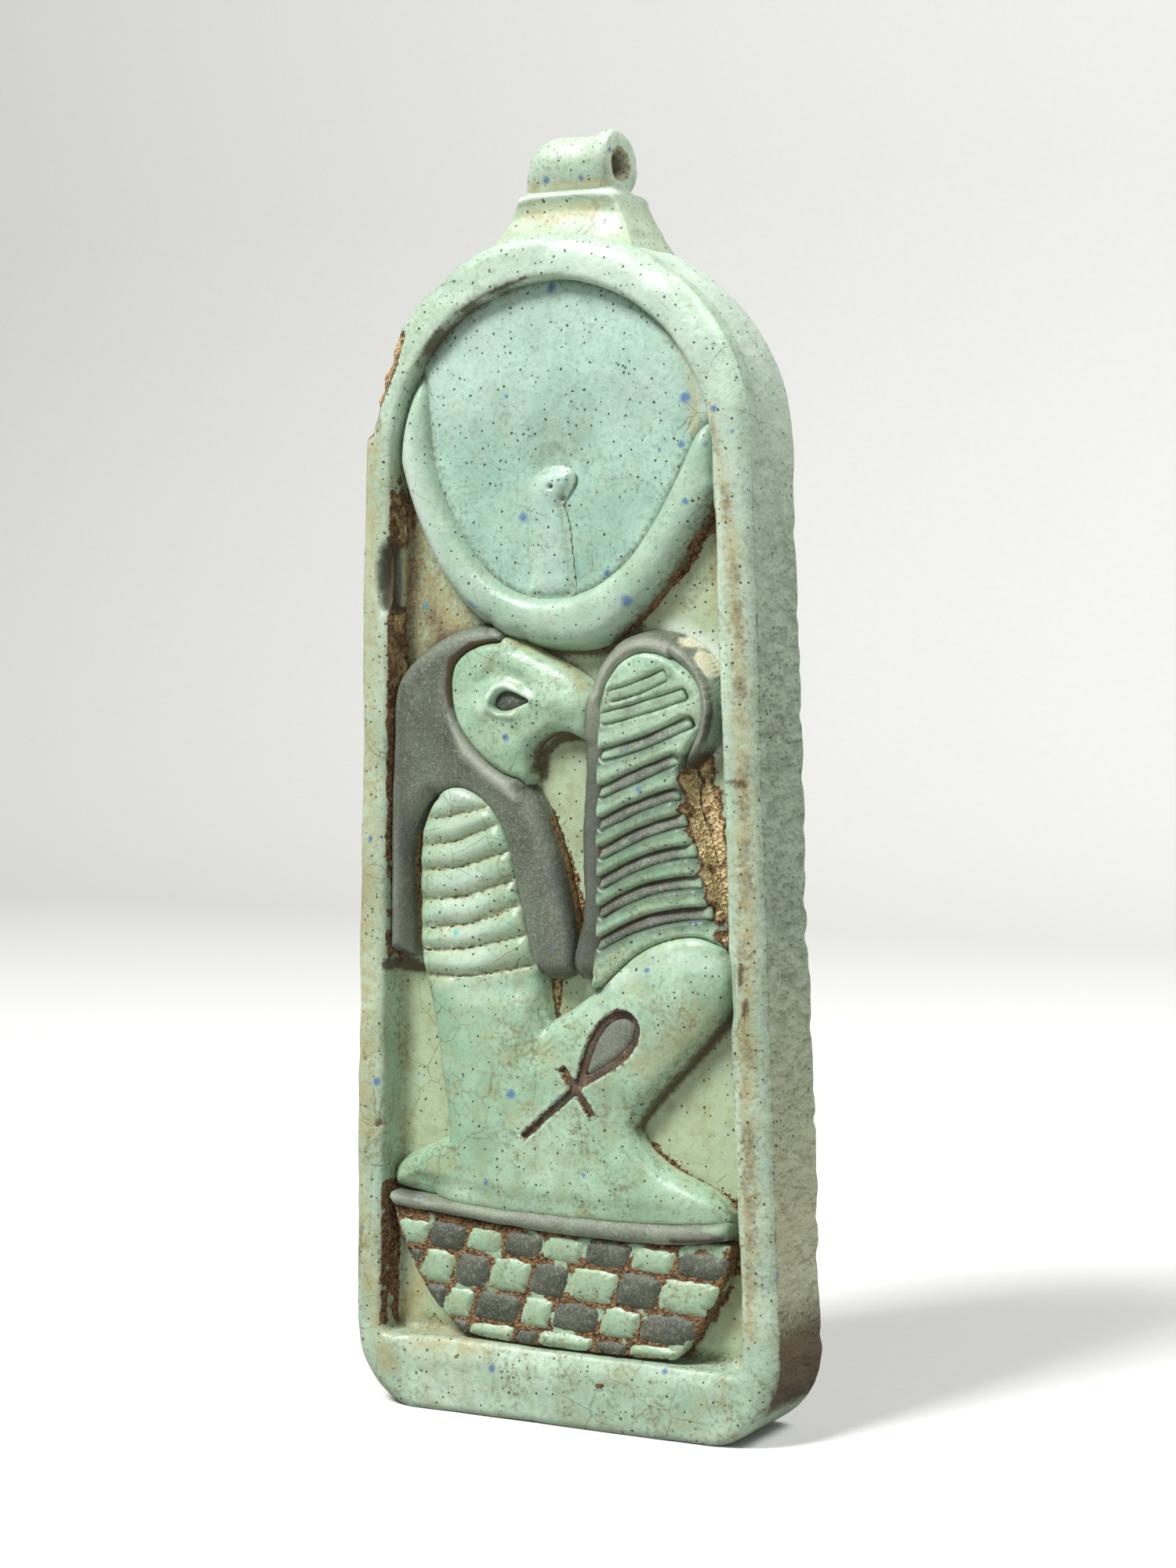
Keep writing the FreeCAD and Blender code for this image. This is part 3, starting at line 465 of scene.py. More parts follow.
for strength, where, path in (
        (0.8, lying, [(-13.6, 73.2, 0.35), (-13.65, 69.9, 0.3)]),
        # Painted shadow down the scoop's right edge
        (1.6, y < -2.7, [(-12.9, 61.8, 0.4), (-12.55, 60.5, 0.6), (-12.55, 58.6, 0.6), (-12.85, 57.5, 0.4)]),
        # Dirt and painted shade along the right inner arris, where the band meets the ground
        (0.5, streaky, [(12.75, 66.0, 0.3), (13.15, 50.0, 0.35), (13.7, 30.0, 0.35), (14.25, 8.0, 0.35)]),
        (1.0, (lying < 0.85) * (y < -1.4) * (0.9 + 0.9 * patchy),
         [(-10.4, 74.6, 0.5), (-8.2, 77.2, 0.6), (-5.0, 79.4, 0.6), (-1.0, 80.5, 0.4)]),
        # Painted shadow on the ground under the beak
        (0.9, on_floor, [(-1.75, 45.6, 0.5), (-1.6, 47.3, 0.6), (-0.4, 48.3, 0.6), (1.2, 48.5, 0.5),
                         (2.8, 48.1, 0.4)]),
        # Painted shadow on the ground under the crescent
        (0.8, on_floor, [(-6.2, 56.2, 0.5), (-1.5, 54.5, 0.6), (3.0, 54.4, 0.6), (6.0, 56.2, 0.6)]),
        # Painted shadow on the ground under the thigh
        (0.7, on_floor, [(5.7, 21.6, 0.5), (9.3, 25.5, 0.6), (13.4, 29.6, 0.6)]),
        # Painted shadow under the back lappet's lower end
        (1.2, in_field, [(-13.9, 32.0, 0.7), (-12.6, 31.7, 0.7), (-11.2, 31.4, 0.4)]),
        (0.3, on_floor * (0.8 + 0.9 * patchy), [(-12.4, 62.0, 1.2), (-11.4, 57.0, 2.2), (-9.6, 54.0, 1.8)]),
        (0.6, on_floor, [(-9.0, 53.8, 1.2), (-5.6, 55.6, 0.8)]),
        (0.35, on_floor, [(9.5, 57.5, 1.0), (12.0, 60.5, 1.4), (12.6, 65.0, 0.8)]),
        (0.5, in_field, [(12.9, 53.0, 0.3), (13.3, 46.5, 0.4)]),
        (0.7, lying * on_face, [(13.6, 45.7, 0.3), (14.9, 45.5, 0.4)]),
        (0.9, lying * on_face, [(14.55, 33.3, 0.22), (14.7, 31.9, 0.2)]),
        (0.9, lying * on_face, [(15.0, 31.0, 0.2), (14.9, 29.9, 0.22)]),
        (0.45, y < -3.4, [(15.1, 5.9, 0.3), (16.8, 3.6, 0.3)]),
        # Painted shade at the foot of the right side
        (0.9, at_side, [(16.9, 6.0, 5.0), (14.5, 0.0, 8.0)]),
        (0.5, outside, [(-16.0, 13.0, 0.7), (-16.6, 9.0, 0.7)])):
    dirt_and_shade += strength * where * stroke(points, path)
paint(tablet, "dirt_and_shade", dirt_and_shade)
paint(tablet, "rough", np.maximum(side_grit, 0.5 * at_back))

# Glaze rubbed pale on the arrises, a painted highlight high up on the frame towards the right shoulder, and
# glaze bleached beside the feather
from_feather = gap_to(outlines["feather_rim"], points)
bleached = np.exp(-((from_feather - 0.5) / 0.7) ** 2) * on_floor * (z > 47) * held((x - 6.5) / 2)
rubbed_and_lit = (1 - 0.9 * beige) * held(-bend * 9 - 0.05, 0.8) * np.clip((z - 20) / 50, 0.3, 1)
paint(tablet, "wear_and_highlight", np.maximum.reduce([
    rubbed_and_lit * (1 - held(1.5 * scoop_rim_shadow + 2 * scoop)),
    # Painted highlight high on the frame, towards the right shoulder
    0.45 * held((z - 60) / 20) * held((x + 12) / 14) * (1 - in_field),
    0.9 * bleached, 0.9 * stroke(points, [(-13.5, 57.0, 0.4), (-13.1, 57.3, 0.4)]) * (y < -3)]))
stain = [0.95 * beige, beside_scoop * (x < -11.8) * in_field]
for strength, where, path in (
        (0.8, 1, [(-11.5, 4.8, 1.8), (-6.0, 5.0, 1.2)]),
        (0.75, in_field, [(-12.9, 50.0, 2.6), (-12.0, 67.0, 2.0)]),
        (1.0, in_field, [(-11.6, 58.5, 3.4), (-8.0, 54.0, 3.2)]),
        (0.7, in_field, [(12.5, 58.0, 2.5), (12.6, 64.0, 1.5)]),
        (0.85, y < -3.5, [(-14.6, 70.0, 2.2), (-15.2, 50.0, 2.6), (-15.9, 20.0, 2.4)]),
        (0.8, in_field, [(-13.4, 6.5, 2.4), (-12.0, 10.0, 1.6)]),
        (0.7, 1, [(-16.2, 30.0, 1.5), (-16.0, 12.0, 1.8), (-14.0, 3.0, 1.5)]),
        (0.5, 1, [(13.5, 14.0, 3.0), (13.0, 8.0, 2.0)])):
    stain.append(strength * where * stroke(points, path))
paint(tablet, "stain", np.maximum.reduce(stain))
# Faience body glaze: silica with copper for the green, satin from burial
tablet_glaze = fired_paste("faience_tablet_glaze", "BACEB8", "99B49E", 0.42, 0.75, [
    (-5.1, -4.3, 3.6, 0.3), (-14.5, -4.3, 23.5, 0.35), (13.0, -4.3, 70.7, 0.3), (16.4, -2.2, 62.0, 0.4),
    (14.9, -1.5, 75.5, 0.4), (15.6, 0.0, 74.0, 0.3), (16.9, -2.6, 14.5, 0.35), (16.9, -3.0, 12.0, 0.35)])
seat(tablet, "tablet", tablet_glaze)


# Suspension loop
# A roll of the same paste with a hole for a cord, luted to the arch and glazed over with it.
# Fingers drew its foot out into the arch and left a soft ridge below the roll.

loop = worn_copy("suspension_loop", 0.13, 10)
points, outward = points_of(loop)
x, y, z = points.T
crown = arch_height + arch_radius
bore = np.array([0.35, 88.05])
# The neck is drawn out front, back and sideways to meet the arch, and up into the roll
rise = np.maximum(np.hypot(x, z - arch_height) - arch_radius, 0)
rise = np.where(z > 85.9, z - crown, rise)
levels = [0.0, 0.4, 1.0, 1.8, 2.5, 2.85, 3.2, 3.6, 4.1, 4.75]
front_now, front_worn, back_now, back_worn = (np.interp(rise, levels, depths) - bore[0] for depths in (
    [-1.53, -1.49, -1.43, -1.33, -1.24, -1.0, -0.85, -1.2, -1.5, -1.6],
    [-3.3, -2.4, -1.75, -1.4, -1.42, -1.5, -1.15, -1.15, -1.42, -1.62],
    [2.94, 2.85, 2.7, 2.52, 2.37, 2.0, 1.55, 1.9, 2.2, 2.3],
    [4.3, 4.1, 3.8, 3.5, 3.3, 3.2, 3.1, 3.0, 2.9, 2.75]))
offset = y - bore[0]
in_front = offset < 0
stretch = np.where(in_front, front_worn / front_now, back_worn / back_now)
at_bore = np.hypot(offset, z - bore[1]) < 1.3
y[:] = bore[0] + offset * np.where(at_bore, 1, stretch)
x *= np.interp(rise, [0.0, 0.6, 1.6, 2.6, 3.2], [1.24, 1.12, 1.03, 0.98, 0.98])
at_right = held(x / 3.5) * (0.3 + 0.7 * held((y + 1.0) / 3.5))
x += at_right * np.interp(rise, [0.0, 1.0, 2.6, 3.4, 4.4, 6.7], [-0.1, 0.1, 0.4, 0.35, 0.6, 0.4])
z -= 0.7 * held(1 - rise / 0.9)
blended = relax(loop, points.copy(), 0.6, 26)
ends = held((np.abs(x) - 2.6) / 0.8)
waisted = (np.exp(-((z - 86.5) / 0.9) ** 2) * (0.45 + 0.55 * ends) * ~at_bore)[:, None]
points = points * (1 - waisted) + blended * waisted
points = relax(loop, points, 0.5, 4)
x, y, z = points.T
# The roll is thick at its top and right end, narrower in the middle and worn away at its left end
radial = points[:, 1:] - bore
reach = np.linalg.norm(radial, axis=1)
on_roll = held((z - 87.2) / 0.9) * (reach > 1.3)
collar = np.exp(-(x - 3.1) ** 2)
waist = np.exp(-((x - 1.2) / 0.8) ** 2)
top = held(radial[:, 1] / 1.95)
left_end = held((-0.9 - x) / 2.5)
swell = (0.28 * top + 0.38 * collar * top - 0.06 * waist - 0.75 * left_end ** 2.2 * held(0.4 + top)) * on_roll
points[:, 1:] += radial / np.maximum(reach, 0.1)[:, None] * swell[:, None]
x += 0.45 * left_end * held((z - 86.6) / 1.5)
mouth = held((1.7 - reach) / 0.4) * (z > 86.4)
points[:, 1:] -= 0.17 * radial * mouth[:, None]
mouth = (held((2.0 - reach) / 0.4) * (z > 86.2))[:, None]
points = points * (1 - mouth) + relax(loop, points.copy(), 0.6, 24) * mouth
push(points, outward, 0.06 * unevenness(points, 2.2))
points, outward = moved(loop, relax(loop, points, 0.4, 3))
x, y, z = points.T
bend = hollowness(loop, points, outward, 8)
in_bore = (reach < 1.25) & (z > 86.6)
paint(loop, "dirt_and_shade", held(bend * 12, 0.2) + 0.55 * in_bore)
paint(loop, "wear_and_highlight", held(-bend * 12 - 0.05, 0.8) * np.clip((z - 84.5) / 2.0, 0.25, 1)
      + 0.7 * stroke(points, [(-3.4, 86.1, 0.3), (3.6, 86.1, 0.35)]) * in_front)
paint(loop, "stain", np.maximum.reduce([
    0.8 * stroke(points, [(-3.0, 86.75, 0.6), (3.0, 86.8, 0.6)]), 0.8 * in_bore,
    0.9 * stroke(points, [(-2.8, 84.8, 1.1), (2.6, 85.0, 1.1)])]))
paint(loop, "ground", 0.4 * held((86.0 - z) / 0.8))
loop_glaze = fired_paste("faience_loop_glaze", "BACBB6", "A2B8A4", 0.42, 0.7,
                         [(-1.4, -1.4, 87.2, 0.3), (1.4, -1.4, 87.2, 0.25), (3.3, -0.9, 89.0, 0.25)])
seat(loop, "suspension_loop", loop_glaze)


# Moon
# A crescent, a modelled ridge of glazed paste, holds the full disc, which lies lower and nearly flat.
# A rearing cobra stands on the disc, modelled soft, with pricked eye and chin.


def round_over(piece, node, free, joined=None, flare=0.2, swell=0.06):
    # Lowers the face towards its outline by a reach and a fall: one pair for edges that stand free on the
    # ground, and one for edges that meet another figure. Spreads the foot and swells the sides to close joints.
    # Gives the points, their outward directions and their heights from 0 to 1.
    points, outward = points_of(piece)
    x, y, z = points.T
    own = outlines.get(node) or outline_of(node)
    met, standing = [], own
    if joined:
        others = tree_of([place for other in figures if other != node for place in outlines[other]])
        met = [place for place in own if others.find(place)[2] < 0.3]
        standing = sorted(set(own) - set(met))
    low, high = y.max(), y.min()
    height = held((low - y) / (low - high))
    drop = np.zeros(len(points))
    for places, (reach, fall) in ((met, joined or free), (standing, free)):
        near = 1 - held(gap_to(places, points) / reach)
        drop += fall * (1 - np.sqrt(held(1 - near ** 2)))
    y += np.minimum(drop, 0.85 * (low - high)) * height
    spread = (flare * (1 - height) ** 2 + swell) * (1 - np.abs(outward[:, 1]))
    x += spread * outward[:, 0]
    z += spread * outward[:, 2]
    return points, outward, height


crescent = worn_copy("lunar_crescent", 0.17, 6)
points, outward, height = round_over(crescent, "lunar_crescent", (1.7, 1.25), (1.6, 0.8), 0.4)
push(points, outward, 0.10 * unevenness(points, 4.0))
points, outward = moved(crescent, points)
bend = hollowness(crescent, points, outward, 6)
flank = stroke(points, [(4.2, 54.8, 0.7), (7.4, 57.4, 1.3), (10.4, 61.4, 1.5), (12.3, 65.0, 1.2)])
flank *= held(1.25 - height)
paint(crescent, "dirt_and_shade", 0.25 * held(0.5 - height) + held(bend * 12, 0.3) + 1.1 * flank)
# Painted highlights down the left horn and along the ridge's top, where light falls
paint(crescent, "wear_and_highlight", 0.5 * stroke(points, [(-11.9, 70.5, 1.2), (-11.2, 65.0, 1.6), (-9.3, 60.5, 1.4)])
      + 0.4 * held(height * 3 - 2.1) * held(1.5 - flank) * (0.6 + 0.6 * unevenness(points, 3.0)))
paint(crescent, "core", 0.62 * held(1.3 * flank - 0.25) * (0.8 + 0.9 * unevenness(points, 1.0)))
paint(crescent, "stain", 0.7 * held(0.7 - height))
crescent_glaze = fired_paste("faience_crescent_glaze", "9DBBA2", "80A289", 0.4, 0.7, [
    (-6.6, -3.9, 57.6, 0.5), (6.0, -3.9, 57.9, 0.5), (10.6, -3.9, 64.6, 0.3), (12.1, -3.8, 68.4, 0.3)])
seat(crescent, "lunar_crescent", crescent_glaze)

disc = worn_copy("lunar_disc", 0.2, 6)
inset = gap_to(outlines["lunar_disc"], points_of(disc)[0])
points, outward, height = round_over(disc, "lunar_disc", (0.9, 0.25), (1.1, -0.22), 0.0, 0.4)
x, y, z = points.T
y += 0.42 * stroke(points, [(-0.6, 68.2, 3.2), (1.6, 68.1, 2.8)]) * height
y -= 0.25 * stroke(points, [(-7.0, 72.0, 4.0), (6.5, 74.0, 4.0)]) * height
push(points, outward, 0.09 * unevenness(points, 5.0))
points = moved(disc, points)[0]
# A painted highlight on the rounded upper right edge, and painted light over the upper part of the disc
rubbed_and_lit = 0.5 * stroke(points, [(10.9, 75.5, 0.8), (11.6, 71.0, 0.9)])
painted_light_high_up = 0.35 * held((points[:, 2] - 66) / 12) * held(0.8 + unevenness(points, 6.0))
paint(disc, "dirt_and_shade", 0.6 * held(0.7 - height) + 0.45 * np.exp(-inset / 0.4))
paint(disc, "wear_and_highlight", np.maximum(rubbed_and_lit, painted_light_high_up))
paint(disc, "stain", np.maximum(0.9 * stroke(points, [(9.0, 76.5, 0.7), (10.8, 73.5, 0.9), (11.0, 69.5, 0.8)]),
                                0.2 * stroke(points, [(0.0, 68.5, 2.4), (1.5, 68.3, 2.0)])))
# Painted shade in the shallow hollow above the cobra's head
paint(disc, "grey", 0.26 * stroke(points, [(-1.4, 67.6, 1.8), (0.4, 68.3, 2.0), (2.2, 67.4, 1.6)]))
disc_glaze = fired_paste("faience_disc_glaze", "A8C7B6", "88AD9C", 0.42, 0.9, [
    (10.2, -3.1, 71.6, 0.45), (9.9, -3.1, 68.5, 0.3), (4.1, -3.1, 59.8, 0.35), (-2.5, -3.1, 63.8, 0.4),
    (6.8, -3.1, 78.3, 0.4), (-0.1, -3.1, 79.6, 0.4)])
seat(disc, "lunar_disc", disc_glaze)

uraeus = worn_copy("uraeus", 0.1, 8)
points, outward, height = round_over(uraeus, "uraeus", (1.2, 0.4), flare=0.7)
x, y, z = points.T
y += 0.25 * height * np.clip((67.5 - z) / 6, 0.3, 1)
z -= 0.5 * held((61.0 - z) / 1.5)
y += 0.35 * stroke(points, [(-0.05, 65.85, 0.32)]) + 0.3 * stroke(points, [(0.75, 65.05, 0.32)])
push(points, outward, 0.05 * unevenness(points, 1.2))
moved(uraeus, points)
paint(uraeus, "dirt_and_shade", 1.0 * stroke(points, [(-0.05, 65.85, 0.3)]) + 0.6 * stroke(points, [(0.75, 65.05, 0.4)]))
paint(uraeus, "stain", 0.6 * held(0.9 - height))
paint(uraeus, "wear_and_highlight", held(height - 0.8, 0.2))
seat(uraeus, "uraeus", disc_glaze)


# Figure
# The wig is a separate inlay of grey paste, coloured with manganese; head and body are green glazed.
# The inlays were set side by side in the field and fused to it in the kiln.


def dark_paste(title, pale, deep):
    # Matt coloured paste, in grains of 0.2 mm, lighter where rubbed and under painted highlights, darker under
    # dirt and painted shade, with films and runs of glaze over it
    finish, tree, shader, place, painted, (cloud, grit, salt) = new_finish(
        title, ("wear_and_highlight", "shade", "film", "overrun", "dirt_and_shade", "core"),
        ((3.0, 4.0, 0.5), (0.35, 4.0, 0.7), (0.16, 2.0, 0.62)))
    film, overrun, soil_and_shade, worn_off = frayed(tree, painted, ("film", grit, 0.8), ("overrun", grit, 0.6),
                                           ("dirt_and_shade", grit, 0.9), ("core", grit, 0.7))
    colour = coated(tree, tint(pale), deep, 1.0, cloud[0], 0.35, 0.65)
    colour = coated(tree, colour, "989E8C", 0.55, grit[0], 0.52, 0.75)
    colour = coated(tree, colour, "2F322B", 0.3, salt[0], 0.52, 0.66)
    colour = coated(tree, colour, "A9AE9C", 0.22, salt[0], 0.46, 0.34)
    # Pale where rubbed, and painted highlights
    colour = coated(tree, colour, "ABB0A0", 1.0, painted["wear_and_highlight"])
    colour = coated(tree, colour, "393D35", 0.85, painted["shade"])
    colour = coated(tree, colour, "8DA98C", 0.9, film, 0.5, 1.1)
    colour = coated(tree, colour, "CDCBAE", 0.95, overrun, 0.6, 0.95)
    for spacing, rarity, reach, code in ((1.3, 0.75, 0.11, "B9BFB2"), (1.9, 0.6, 0.1, "35608F"),
                                         (0.8, 0.5, 0.13, "2B2A27")):
        colour = specked(tree, place, colour, spacing, rarity, reach, code, -0.02, 0.04, 0.7)
    # Dirt, and painted shade, in dark brown
    colour = coated(tree, colour, "4A3524", 0.9, soil_and_shade, 0.62, 1.1)
    colour = coated(tree, colour, bare_core(tree, place, painted["core"])[1], 1.0, worn_off, 0.58, 0.72)
    height = add(tree, "Math", {0: grit[0], 1: 0.1 * mm}, operation="MULTIPLY")[0]
    bump = add(tree, "Bump", {"Height": height, "Distance": 1.0, "Strength": 0.7})[0]
    fill(tree, shader, {"Base Color": colour, "Normal": bump, "Roughness": 0.55, "IOR": 1.5})
    return finish


wig = worn_copy("wig", 0.15, 6)
points, outward, height = round_over(wig, "wig", (1.3, 1.0), (1.1, 0.35), 0.3)
x, y, z = points.T
push(points, outward, 0.08 * unevenness(points, 2.5))
x -= 0.35 * held((-11.0 - x) / 1.0) * held((54.5 - z) / 5)
front_side = held(-outward[:, 1])
y -= 0.25 * front_side * stroke(points, [(-8.0, 49.6, 0.7), (-6.9, 47.3, 1.2), (-4.7, 45.6, 1.2),
                                         (-3.0, 44.2, 0.8)])
points, outward = moved(wig, points)
bend = hollowness(wig, points, outward, 6)
crown_joint = [(-4.6, 55.2, 0.3), (-6.6, 54.9, 0.4), (-8.1, 53.8, 0.5), (-8.5, 52.0, 0.45), (-8.3, 50.6, 0.3)]
# The stroke along the back lappet's lower end is painted shadow
paint(wig, "dirt_and_shade", 0.5 * held(0.5 - height) + 1.1 * stroke(points, crown_joint)
      + 1.0 * stroke(points, [(-13.4, 32.2, 0.9), (-11.0, 31.7, 0.8)]) * held(1.2 - height)
      + 0.5 * stroke(points, [(-1.2, 31.6, 0.4), (0.6, 31.9, 0.4)]))
left_flank = held(1.7 * stroke(points, [(-11.85, 41.5, 0.3), (-11.85, 37.0, 0.6), (-11.85, 33.6, 0.5)]))
right_flank = held(1.7 * stroke(points, [(-0.9, 42.5, 0.5), (0.5, 38.0, 0.7), (1.2, 33.0, 0.7)]))
low_part = held((0.66 + 0.2 * unevenness(points, 0.9) - height) * 6)
paint(wig, "core", (0.64 * left_flank + 0.74 * right_flank) * low_part)
# Worn pale on the arrises, and a painted highlight along the lappet's raised rim beside the face
paint(wig, "wear_and_highlight", held(-bend * 16, 0.5)
      + 0.35 * stroke(points, [(-7.9, 49.4, 0.5), (-6.9, 47.3, 0.9), (-4.7, 45.6, 0.9), (-3.2, 44.5, 0.5)]))
paint(wig, "shade", np.maximum.reduce([
    0.6 * stroke(points, [(0.0, 40.0, 0.7), (1.3, 35.0, 0.9), (1.4, 32.4, 0.9)]),
    0.5 * stroke(points, [(-1.8, 32.0, 0.7), (1.4, 32.2, 0.8)]),
    0.5 * stroke(points, [(-12.2, 52.0, 0.6), (-12.4, 42.0, 1.0), (-12.5, 33.0, 1.0)]),
    0.4 * stroke(points, [(-12.6, 32.4, 0.8), (-11.0, 32.2, 0.8)])]))
wig_paste = dark_paste("manganese_paste_wig", "5D6656", "444C40")
seat(wig, "wig", wig_paste)

head = worn_copy("falcon_head", 0.12, 6)
points, outward, height = round_over(head, "falcon_head", (1.6, 0.9), (2.2, 0.5), 0.25)
x, y, z = points.T
front_side = held(-outward[:, 1])
lid = [(-1.75, 51.05, 0.35), (-2.8, 51.75, 0.6), (-3.7, 52.15, 0.65), (-4.5, 51.9, 0.6), (-5.0, 51.2, 0.55),
       (-4.95, 50.5, 0.5), (-4.3, 50.0, 0.45), (-3.2, 49.9, 0.4)]
for rise, path in ((0.32, lid), (0.35, [(-5.6, 50.4, 1.3)]), (0.25, [(-1.2, 51.4, 1.2), (1.4, 50.6, 1.2)]),
                   (-0.2, [(-5.9, 52.3, 0.8), (-4.6, 53.1, 0.9), (-2.6, 52.6, 0.8), (-0.8, 51.2, 0.7)]),
                   (-0.15, [(-1.5, 49.8, 0.9), (-2.8, 48.9, 0.9)])):
    y -= rise * stroke(points, path) * front_side
# The beak's hooked tip
z -= 0.45 * stroke(points, [(2.9, 47.6, 1.5)]) * (z < 49.0)
points = relax(head, points, 0.5, 5)
push(points, outward, 0.05 * unevenness(points, 1.8))
points, outward = moved(head, points)
bend = hollowness(head, points, outward, 6)
dots = stroke(points, [(-3.85, 48.45, 0.28)]) + stroke(points, [(-3.95, 49.35, 0.2)])
paint(head, "dirt_and_shade", 0.6 * held(0.5 - height) + held(bend * 26, 0.6) + 0.8 * dots
      + 0.9 * held(1.3 - height) * stroke(points, [(-2.2, 46.0, 0.4), (-1.9, 47.6, 0.55), (-0.6, 48.7, 0.5),
                                                   (1.2, 48.8, 0.35), (2.6, 48.3, 0.3)]))
crown_edge = stroke(points, [(-4.4, 55.4, 0.4), (-1.7, 54.6, 0.5), (0.8, 53.4, 0.5), (2.2, 52.0, 0.5)])
paint(head, "stain", np.maximum(0.9 * crown_edge, 0.5 * held(0.8 - height)))
lid_highlight = stroke(points, [(-5.0, 51.3, 0.35), (-4.5, 51.9, 0.35), (-3.7, 52.1, 0.35), (-2.8, 51.75, 0.3)])
# Painted highlights on the lid's upper ridge and the cheek, and glaze worn pale on the arrises
paint(head, "wear_and_highlight", 0.9 * lid_highlight + 0.5 * stroke(points, [(-5.6, 50.4, 0.7)]) + held(-bend * 14 - 0.1, 0.5))
figure_glaze = fired_paste("faience_figure_glaze", "AFCAB1", "8AAC8F", 0.40, 0.7, [
    (-3.7, -3.9, 48.4, 0.3), (6.8, -3.6, 45.0, 0.4), (8.2, -3.6, 36.3, 0.35), (2.7, -3.6, 33.7, 0.4),
    (-3.5, -4.0, 23.3, 0.4), (-5.6, -4.0, 16.8, 0.25), (7.4, -4.0, 32.6, 0.25), (9.8, -4.0, 30.0, 0.25)])
seat(head, "falcon_head", figure_glaze)

eye = worn_copy("eye_inlay", 0.06, 4)
points, outward, height = round_over(eye, "eye_inlay", (0.7, 0.3), flare=0.0)
moved(eye, points)
paint(eye, "dirt_and_shade", 0.5 * held(0.8 - height))
eye_paste = dark_paste("manganese_paste_eye", "585D54", "3A3F39")
seat(eye, "eye_inlay", eye_paste)

body = worn_copy("seated_body", 0.16, 4)
points, outward, height = round_over(body, "seated_body", (2.6, 1.05), (1.0, 0.22), 0.35)
x, y, z = points.T
front_side = held(-outward[:, 1])
# Seven grooves across the breast, left by a point drawn through the wet paste
ribs = [[(-11.2, 42.5), (-8.9, 42.7), (-5.6, 43.5)], [(-11.2, 40.6), (-8.1, 41.0), (-4.4, 42.4)],
        [(-11.3, 38.8), (-7.7, 39.2), (-3.6, 40.5)], [(-11.3, 36.7), (-7.5, 37.1), (-3.1, 38.5)],
        [(-11.2, 34.7), (-6.9, 35.2), (-2.6, 36.8)], [(-11.2, 33.1), (-7.3, 33.4), (-2.0, 34.7)],
        [(-11.0, 31.3), (-6.9, 31.5), (-1.4, 32.6)]]
groove = np.maximum.reduce([nearness(points, [place + (1.05,) for place in rib]) for rib in ribs])
y += 0.42 * groove ** 2 * front_side
# Raised knee and thigh, a hollow beside the hip, and feet that run out flat
for rise, path in ((0.4, [(10.6, 31.8, 3.2), (7.0, 29.6, 3.6)]),
                   (-0.35, [(-1.0, 29.0, 1.5), (-1.6, 26.5, 2.2)]),
                   (-0.3, [(-7.6, 30.6, 1.5), (-3.0, 30.9, 1.5)]),
                   (-0.3, [(3.0, 19.5, 2.5), (4.5, 22.5, 2.5)]),
                   (0.2, [(-6.0, 26.0, 2.8), (-5.6, 21.0, 2.8)]),
                   (-0.25, [(-11.5, 16.4, 1.2), (-4.0, 15.6, 1.2), (5.0, 15.5, 1.2), (12.5, 15.8, 1.0)])):
    y -= rise * stroke(points, path) * front_side
y += 0.4 * stroke(points, [(-13.6, 16.8, 3.4), (-12.0, 16.6, 2.6)]) * height
z -= 0.25 * held((15.9 - z) / 0.6)
push(points, outward, 0.07 * unevenness(points, 3.0))
# The sign's cell has narrowed under the glaze
beside_sign = gap_to(outline_of("ankh"), points)
push(points, outward, 0.14 * held(1 - beside_sign / 0.5) * (np.abs(outward[:, 1]) < 0.9))
points, outward = moved(body, points)
bend = hollowness(body, points, outward, 5)
# Painted shadow on the body's side under the thigh
shadow_under_thigh = stroke(points, [(5.2, 20.8, 0.9), (6.2, 22.4, 1.2), (9.5, 26.2, 1.3), (13.4, 30.0, 1.2)])
paint(body, "dirt_and_shade", 0.8 * shadow_under_thigh * held(1.3 - height) + 0.7 * held(0.5 - height) + held(bend * 22, 0.6)
      + 0.35 * groove ** 12)
paint(body, "stain", np.maximum.reduce([0.7 * held(0.75 - height), 0.6 * groove ** 3,
                                        0.5 * stroke(points, [(11.0, 29.0, 2.5), (7.0, 26.0, 2.0)])]))
ribbed = stroke(points, [(-8.0, 43.0, 4.0), (-6.5, 33.0, 4.5)])
# Glaze worn pale on the arrises, paler glaze with painted highlights on the ribs, and a painted highlight along
# the top of the thigh
paint(body, "wear_and_highlight", held(-bend * 12 - 0.08, 0.6) + 0.6 * ribbed * (1 - groove)
      + 0.35 * stroke(points, [(4.5, 31.4, 0.9), (9.0, 33.6, 1.1), (12.2, 33.2, 1.1)]))
paint(body, "core", 0.5 * held(1.0 - beside_sign / 0.25 + 0.35 * unevenness(points, 0.6)) * (height > 0.6))
seat(body, "seated_body", figure_glaze)

ankh = worn_copy("ankh", 0.09, 4)
points, outward = points_of(ankh)
x, y, z = points.T
push(points, outward, 0.03 * unevenness(points, 0.5))
y += 0.12
moved(ankh, points)
paint(ankh, "dirt_and_shade", 0.3 + 0.6 * unevenness(points, 0.9))
paint(ankh, "core", np.where(np.abs(outward[:, 1]) < 0.75, 0.62, 0.1 + 0.6 * unevenness(points, 0.7)))
ankh_paste = dark_paste("manganese_paste_sign", "5C5046", "40332A")
seat(ankh, "ankh", ankh_paste)

